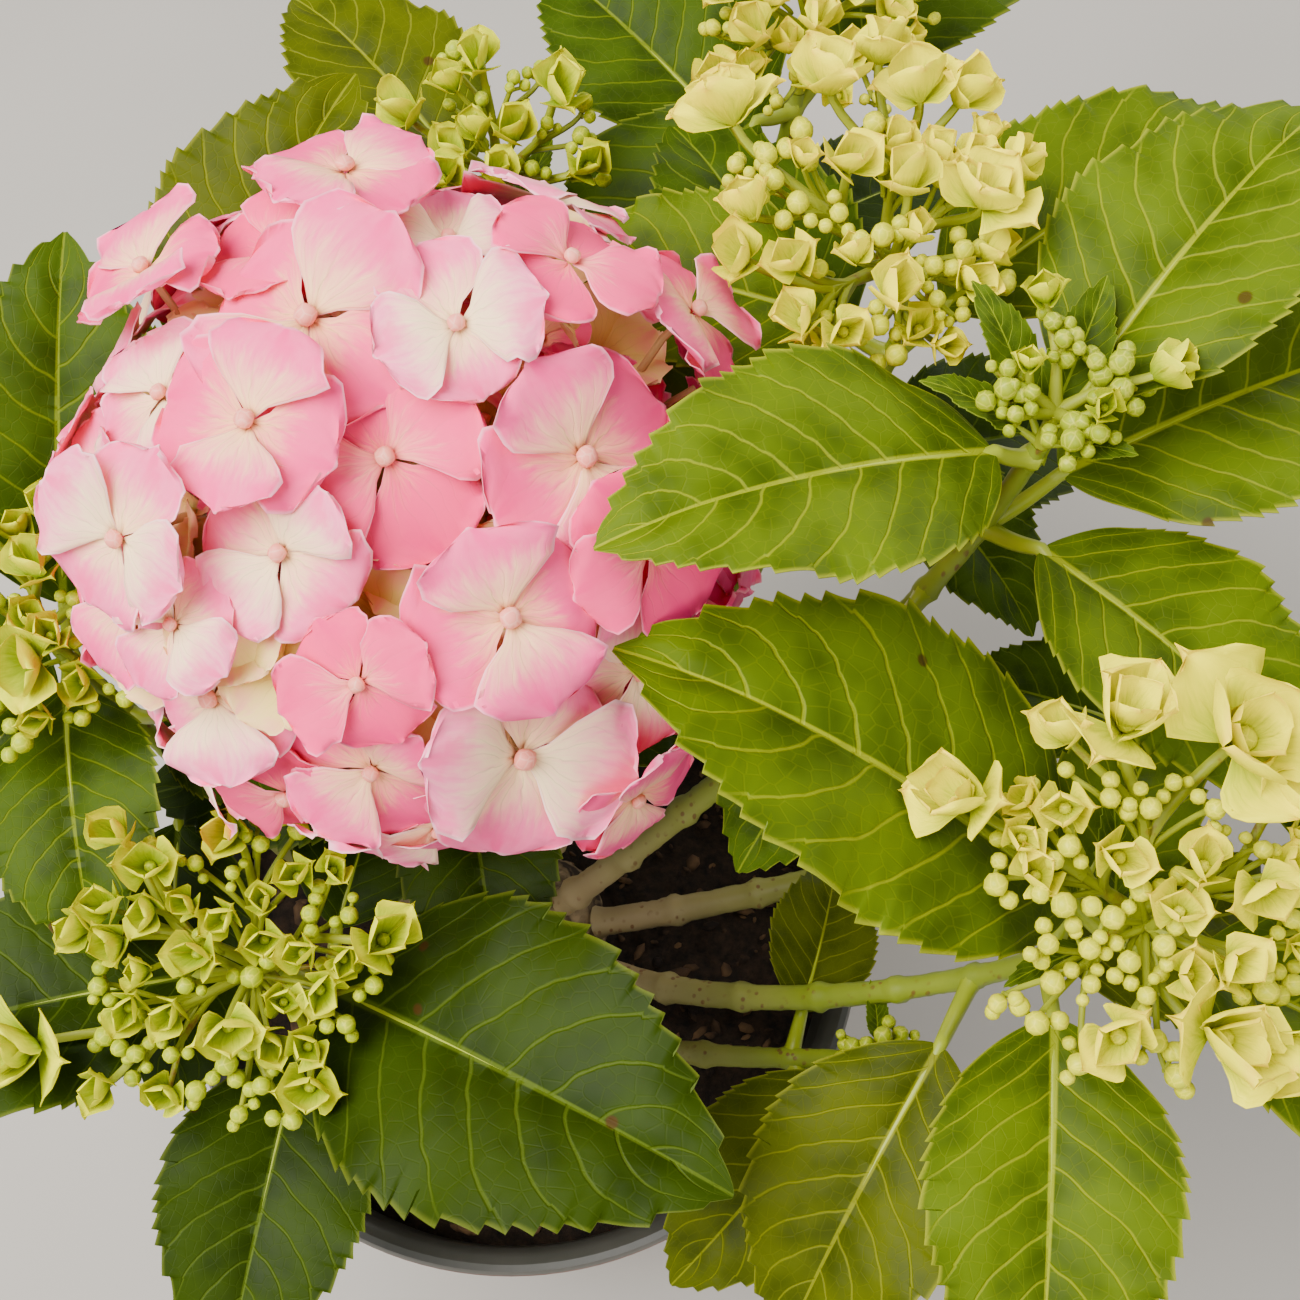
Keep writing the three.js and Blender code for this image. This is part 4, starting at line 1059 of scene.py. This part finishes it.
def cup(flower, tint, random):
    """A floret still opening. Two pointed sepals spread outside and two close like cupped hands round
    a bud; the smallest have opened least."""
    width, spin, facing = flower["width"], flower["spin"], flower["facing"]
    outward = crossways(facing, spin)
    open_share = min(1.0, max(0.0, (width - 9) / 15)) * 0.7 + 0.3 * random()
    place = flower["place"] - facing * (0.42 - 0.34 * open_share) * width
    cells = 9 if width > 16 else 6
    for k in range(4):
        axis = outward((k + 0.5) * math.pi / 2 + (random() - 0.5) * 0.3)
        ajar = 0.85 + 0.3 * random()
        if k % 2 == 0:
            hug = 0.38 * (1 - open_share)
            steep = (0.78 - 0.5 * open_share) * ajar
            shape = (0.62, 0.40 + 0.05 * random(), 0.95, (steep, 0.12, -0.16 * open_share), 0.05, -0.3)
        else:
            hug = 0.7 - 0.26 * open_share
            steep = (0.88 - 0.26 * open_share) * ajar
            shape = (0.58 - 0.06 * open_share, 0.39, 0.5, (steep, 0.1, -0.12), 0.02, 0.3)
        sepals[tint].append(sepal(place, facing, axis, width, shape, random, cells, hug))
    if width > 21:
        for k in range(3):
            axis = outward(k * 2.1 + random())
            shape = (0.52, 0.34, 0.5, (0.9, 0.1, -0.1), 0.02, 0.5)
            sepals[tint].append(sepal(place, facing, axis, width * 0.6, shape, random, 7, 0.42))
    core = "cream" if tint in ("cream", "peach") else tint
    size = (0.12 - 0.03 * open_share) * width
    buds[core].append(bead(place + facing * 1.3 * size, facing, size, spin, 1.25))


blade_points = [np.asarray(part[0]) for parts in leaf_parts.values() for part in parts]
blade_quads = [part[1] for parts in leaf_parts.values() for part in parts]
offsets = np.cumsum([0] + [len(points) for points in blade_points[:-1]])
leaf_skin = BVHTree.FromPolygons(
    [tuple(p) for p in np.concatenate(blade_points)],
    [tuple(int(i) for i in q) for q in np.concatenate([q + o for q, o in zip(blade_quads, offsets)])])


def clear_of_leaves(place, room):
    """Whether no leaf comes within a distance of a place."""
    return leaf_skin.find_nearest(place, room)[3] is None


for number, head in enumerate(HEADS):
    random = seeded(40 + number)
    flowers = []
    tilt = seeded(640 + number)
    for x, y, width in head["cups"]:
        place, facing = on_dome(head, x, y)
        sway = RIGHT * CUP_SWAY * (tilt() - 0.5)
        nod = UP * (CUP_SWAY * (tilt() - 0.5) + head["nod"])
        facing = (facing + sway + nod).normalized()
        flowers.append({"place": place, "facing": facing, "x": x, "y": y, "width": width, "neck": 0.14,
                        "spin": random() * 6, "kind": "cup", "stalk": 0.8 + 0.02 * width})
    extra = seeded(340 + number)
    fill = head["fill"]
    spots = int((DENSITY[head["tint"]] * len(head["cups"]) + 4 * head["buds"]) * (fill / FILL) ** 1.5)
    for k in range(spots):
        reach = fill * head["radius"] * math.sqrt((k + 0.5) / spots)
        x, y = round_at(reach, k * GOLDEN)
        room = 2.6
        if head["tint"] == "green":
            near = min(head["groups"], key=lambda g: math.hypot(g[0] - x, g[1] - y))
            x, y, room = near[0] + 0.42 * (x - near[0]), near[1] + 0.42 * (y - near[1]), 1.5
        if any(math.hypot(f["x"] - x, f["y"] - y) < f["width"] * CROWDED + room for f in flowers):
            continue
        half_open = extra() < HALF_OPEN[head["tint"]]
        place, facing = on_dome(head, x, y, 2 + 5 * extra())
        facing = (facing + Vector((extra() - 0.5, extra() - 0.5, 0)) * 0.6 + UP * head["nod"]).normalized()
        width = 9 + 4.5 * extra() if half_open else 3.9 + 1.9 * extra()
        if not clear_of_leaves(place, LEAF_ROOM + 0.6 * width):
            continue
        flowers.append({"place": place, "facing": facing, "x": x, "y": y, "width": width,
                        "neck": 0.14 if half_open else 0.4, "spin": extra() * 6,
                        "kind": "cup" if half_open else "bud", "stalk": 0.75})
    hub = head_stalk(head, HUB_SHARE, 1.5, 2.2, 0.2, 10)
    rays_to(head, hub, flowers, 1.7, rays["green"])
    store = buds[head["tint"]]
    for flower in flowers:
        place, facing, size = flower["place"], flower["facing"], flower["width"] / 2
        if flower["kind"] == "cup":
            cup(flower, head["tint"] if head["tint"] != "green" else "lime", extra)
            if extra() < SPARE_BUDS:
                side = crossways(facing, extra() * 6)(0)
                low = place - facing * (size + 2) + side * 4.2
                store.append(bead(low, (facing + side * 0.6).normalized(), 1.7 + 0.6 * extra(), 0, 1.1))
                rays["green"].append(stalk_between(flower["foot"].lerp(low, 0.55), facing, low, facing, 0.6))
            continue
        outward = crossways(facing, flower["spin"])
        store.append(bead(place, facing, size, flower["spin"], 1.08))
        for k in range(2 if extra() < PAIRED_BUDS else 3):
            turn = k * 2.2 + extra()
            spot = place + outward(turn) * size * 1.75 - facing * (1.2 + extra())
            store.append(bead(spot, facing, size * (0.62 + 0.25 * extra()), turn, 1.08))
            sprigs.append(stalk_between(place - facing * 4.5, facing, spot, facing, 0.5))

# The pink head's florets as they show from the front (across, up, width, tint), then those round its
# sides and back. Florets that overlap lie in separate layers, some millimetres apart.
MOP = {
    "name": "middle", "middle": (-17, 51, 333), "radius": 84, "rise": 52, "back": 34,
    "side_florets": 22, "side_width": 42,
    "florets": [(-16, 39, 52, "pink"), (-26, 15, 46, "pink"), (1, 9, 46, "rose"), (-53, 25, 40, "blush"),
                (-10, 71, 44, "pink"), (13, 62, 34, "blush"), (16, 35, 40, "blush"), (43, 9, 50, "pink"),
                (-21, -12, 42, "blush"), (-51, -8, 42, "blush"), (-43, -26, 32, "blush"),
                (-42, -45, 46, "blush"), (-23, -38, 28, "peach"), (-4, -38, 38, "rose"),
                (26, -24, 48, "pink"), (29, -56, 54, "blush"), (37, 47, 38, "rose"),
                (64, 42, 42, "pink"), (36, 59, 24, "peach"), (55, -11, 38, "rose"),
                (51, -63, 38, "pink"), (-34, -30, 26, "peach"), (-53, 50, 42, "pink")],
}
LAYERS = (0, 5, -5, 10, -10)
LAYER_ROOM = 4
PEACH_LAYER = -5
SWAY = 0.42
AROUND = 320
UNDER = 46

random = seeded(7)
florets = []
for x, y, width, tint in MOP["florets"]:
    place, facing = on_dome(MOP, x, y)
    florets.append({"place": place, "facing": facing, "width": width, "tint": tint})
side_tints = ("pink", "blush", "rose", "pink", "blush")
for k in range(MOP["side_florets"]):
    out = MOP["back"] * (-0.7 if k % 2 else 0.05)
    reach = 0.92 * MOP["radius"] * math.sqrt(1 - (out / MOP["back"]) ** 2)
    across = round_at(reach, k / MOP["side_florets"] * 2 * math.pi)
    place, facing = dome_place(MOP, *across, out, MOP["back"])
    if any((f["place"] - place).length < CROWDED * (f["width"] + MOP["side_width"]) for f in florets):
        continue
    florets.append({"place": place, "facing": facing, "width": MOP["side_width"],
                    "tint": side_tints[k % len(side_tints)]})
for i, floret in enumerate(florets):
    over = [f for f in florets[:i]
            if (f["place"] - floret["place"]).length < 0.5 * (f["width"] + floret["width"])]
    floret["layer"] = next((n for n in LAYERS if all(abs(f["layer"] - n) > LAYER_ROOM for f in over)), 0)
    floret["spin"] = random() * 6
for floret in florets:
    if floret["tint"] == "peach":
        floret["layer"] = PEACH_LAYER
    floret["place"] = floret["place"] + floret["facing"] * floret["layer"]
    sway = (RIGHT * (random() - 0.5) + UP * (random() - 0.5)) * SWAY
    floret["facing"] = (floret["facing"] + sway).normalized()
    floret["neck"] = 0.05
    floret["stalk"] = 1.0

# More florets close the head wherever it is still open, a little below the first ones, and younger
# and smaller ones fill it underneath.
extra = seeded(77)
for k in range(AROUND):
    out_share = 1 - 1.62 * (k + 0.5) / AROUND
    depth = MOP["rise"] if out_share > 0 else MOP["back"]
    reach = 0.95 * MOP["radius"] * math.sqrt(1 - out_share ** 2)
    place, facing = dome_place(MOP, *round_at(reach, k * GOLDEN), out_share * depth, depth)
    width = 34 + 8 * extra()
    spin = extra() * 6
    if any((f["place"] - place).length < 0.285 * (f["width"] + width) for f in florets):
        continue
    florets.append({"place": place - facing * 3, "facing": facing, "width": width, "layer": -3,
                    "tint": side_tints[k % len(side_tints)], "spin": spin, "neck": 0.05, "stalk": 1.0})
for k in range(UNDER):
    reach = 0.9 * MOP["radius"] * math.sqrt((k + 0.5) / UNDER)
    place, facing = on_dome(MOP, *round_at(reach, k * GOLDEN + 0.4), 17 + 4 * extra())
    florets.append({"place": place, "facing": facing, "width": 25 + 11 * extra(), "layer": -14,
                    "tint": ("peach", "blush", "peach", "peach", "pink")[k % 5], "spin": extra() * 6,
                    "neck": 0.05, "stalk": 0.9})

hub = head_stalk(MOP, 0.55, 2.1, 3.0, 0.3, 12)
rays_to(MOP, hub, florets, 2.4, rays["blush"])
shaken = seeded(1234)
for floret in florets:
    place, facing, width = floret["place"], floret["facing"], floret["width"]
    outward = crossways(facing, floret["spin"])
    young = floret["tint"] == "peach" or width < 30
    for k in range(4):
        axis = outward((k + 0.5) * math.pi / 2 + (shaken() - 0.5) * 0.34)
        long = 0.47 * (0.82 + 0.32 * shaken())
        broad = 0.285 + 0.07 * shaken()
        upper = k % 2 == 1
        if young:
            rise = (0.30, -0.12 + 0.1 * shaken(), 0.05)
        else:
            rise = (0.1 * shaken() + (0.07 if upper else -0.03), -0.06, 0.06 * shaken() - 0.07)
        shape = (long, broad, 0.1 * shaken(), rise, 0.03 * shaken() - (0.025 if upper else 0.0),
                 1.9 if upper else 0.0)
        # The lower pair, lying under the upper pair, takes the deeper _low tint: painted shade under the
        # overlapping sepals.
        tint = floret["tint"] if upper or floret["tint"] == "peach" else floret["tint"] + "_low"
        sepals[tint].append(sepal(place, facing, axis, width, shape, shaken))
    buds["rose"].append(bead(place + facing * (0.03 * width + 0.6), facing, max(1.5, 0.05 * width),
                             floret["spin"], 0.8, 0.06, 12))


def petal_finish(name, heart, edge, deep, vein, spread, rim, tip=None):
    """A sepal's material: thin, soft and matt, pale at the heart and coloured towards its edge."""
    finish, tree, shader = finish_named(name, 0.55, ior=1.4, specular=0.14)
    sums, band, blend = shading(tree)
    grid = node(tree, "ShaderNodeUVMap", uv_map="grid").outputs[0]
    parts = node(tree, "ShaderNodeSeparateXYZ", {0: grid})
    along, across = parts.outputs["X"], sums("MULTIPLY_ADD", parts.outputs["Y"], 2.0, -1.0)
    far = sums("ABSOLUTE", across)
    streak_place = node(tree, "ShaderNodeMapping", {0: grid, "Scale": (1.2, 7.0, 1.0)}).outputs[0]
    streak = flat_noise(tree, streak_place, 3.0, 5.0)
    cloud = flat_noise(tree, grid, 3.5, 2.0)
    blush = sums("ADD", along, sums("MULTIPLY_ADD", streak, 0.6, -0.3))
    blush = sums("ADD", blush, sums("MULTIPLY", sums("MULTIPLY", far, far), 0.12))
    colour = blend(band(blush, spread[0], spread[1]), heart, edge)
    colour = blend(sums("MULTIPLY", band(cloud, 0.42, 0.7), band(along, 0.35, 0.95)), colour, deep)
    fan = sums("MULTIPLY", across, sums("MULTIPLY_ADD", along, 1.1, 3.4))
    fan = sums("MULTIPLY_ADD", flat_noise(tree, grid, 4.0, 1.0), 0.9, fan)
    veins = band(sums("PINGPONG", sums("ADD", fan, 8.0), 0.5), 0.0, 0.07, 1.0, 0.0)
    veins = sums("MULTIPLY", veins, band(along, 0.1, 0.75, 0.75, 0.1))
    colour = blend(sums("MULTIPLY", veins, 0.55), colour, vein)
    colour = blend(band(along, 0.0, 0.14, 0.5, 0.0), colour, vein)
    if tip:
        colour = blend(band(along, 0.82, 1.0, 0.0, 0.6), colour, tip)
    edge_share = sums("MAXIMUM", band(far, 0.93, 1.0), band(along, 0.965, 1.0))
    colour = blend(sums("MULTIPLY", edge_share, 0.6), colour, rim)
    colour_with(tree, shader, colour, sums("MULTIPLY", veins, -0.5), 0.35, 0.5 * MM)
    return finish


# The _low tints are deeper copies of the pink tints: painted shade for the lower pair of sepals, which the
# upper pair overlaps.
PETALS = {
    "rose": (("#ffa08c", "#fd4a80", "#fa387c", "#cf7078", (-0.05, 0.5), "#fda4b8"), "pink_blossom"),
    "rose_low": (("#fc8878", "#f63c76", "#f02a74", "#c4646e", (-0.1, 0.4), "#fda4b8"), "pink_blossom"),
    "pink": (("#ffd098", "#fd5e92", "#fa4088", "#c09068", (0.0, 0.78), "#feb8c6"), "pink_blossom"),
    "pink_low": (("#ffbe88", "#fb4c86", "#f4367e", "#b88660", (-0.05, 0.62), "#feb8c6"), "pink_blossom"),
    "blush": (("#ffe0ae", "#fe80a8", "#fc6096", "#b4a078", (0.14, 0.95), "#ffd4d6"), "pink_blossom"),
    "blush_low": (("#ffd6a0", "#fd6e9c", "#fa508c", "#ac9670", (0.04, 0.8), "#ffd4d6"), "pink_blossom"),
    "peach": (("#ecd878", "#f4cc8c", "#f6b090", "#bca064", (0.3, 1.1), "#fce2ac"), "pink_blossom"),
    "cream": (("#b6c000", "#f6ec00", "#fcf000", "#a8a800", (0.05, 0.85), "#fdf010", "#f8cc3c"),
              "cream_blossom"),
    "lime": (("#90a600", "#d0d400", "#e6e000", "#828e00", (0.1, 0.9), "#eee618"), "lime_blossom"),
}
for name, (codes, slot_name) in PETALS.items():
    if sepals[name]:
        finish = petal_finish(f"hydrangea_sepal_{name}", *codes)
        heads = [f"corymb_{h['name']}" for h in HEADS if h["tint"] == name]
        heads += ["mophead_pink"] if name == "pink" else []
        heads += ["corymb_right", "corymb_low_right"] if name == "lime" else []
        joined(f"sepals_{name}", sepals[name], finish, heads, ("OFBake", "grid"), sharp=80)

# Buds and beads: tight little spheres whose four sepals meet in pale seams.
BEADS = {
    "rose": ("#f89c88", "#f08c7c", "#fcc0a8", "pink_blossom"),
    "cream": ("#b0b600", "#d2d000", "#f0e42c", "cream_blossom"),
    "lime": ("#8ca000", "#b2bc00", "#dcd820", "lime_blossom"),
    "green": ("#7c8e00", "#a0aa0c", "#ccc840", "green_buds"),
}
for name, (low, high, seam, slot_name) in BEADS.items():
    finish, tree, shader = finish_named(f"hydrangea_bud_{name}", 0.45, ior=1.42, specular=0.35)
    where = node(tree, "ShaderNodeTexCoord").outputs["Object"]
    seams = node(tree, "ShaderNodeTexVoronoi", {"Vector": where, "Scale": 420.0},
                 feature="DISTANCE_TO_EDGE").outputs["Distance"]
    body_tint = mix(tree, noise_in(tree, 160.0, 3.0), low, high)
    seamed = mix(tree, ranged(tree, seams, 0.02, 0.1, 0.5, 0.0), body_tint, seam)
    colour_with(tree, shader, seamed, seams, 0.3, 0.3 * MM)
    joined(f"buds_{name}", buds[name], finish, sharp=60)

# Rays: pale green and juicy, with corky red-brown patches; pinker in the open head.
RAYS = {
    "green": ("#7e8a08", "#a0a424", 0.8, "lime_blossom"),
    "blush": ("#b49a58", "#c8966c", 0.35, "pink_blossom"),
}
for name, (low, high, rusty, slot_name) in RAYS.items():
    finish, tree, shader = finish_named(f"hydrangea_ray_{name}", 0.5, ior=1.42, specular=0.4)
    rust = noise_in(tree, 55.0, 6.0, Roughness=0.75)
    body_tint = mix(tree, noise_in(tree, 90.0, 3.0), low, high)
    rusted = mix(tree, ranged(tree, rust, 0.56, 0.66, 0.0, rusty), body_tint, "#7a3a22")
    colour_with(tree, shader, rusted, rust, 0.3, 0.4 * MM)
    joined(f"rays_{name}", rays[name] + (sprigs if name == "green" else []), finish, sharp=60)

size = {"cad": [list(v) for v in cad_box], "visual": [list(v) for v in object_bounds()]}
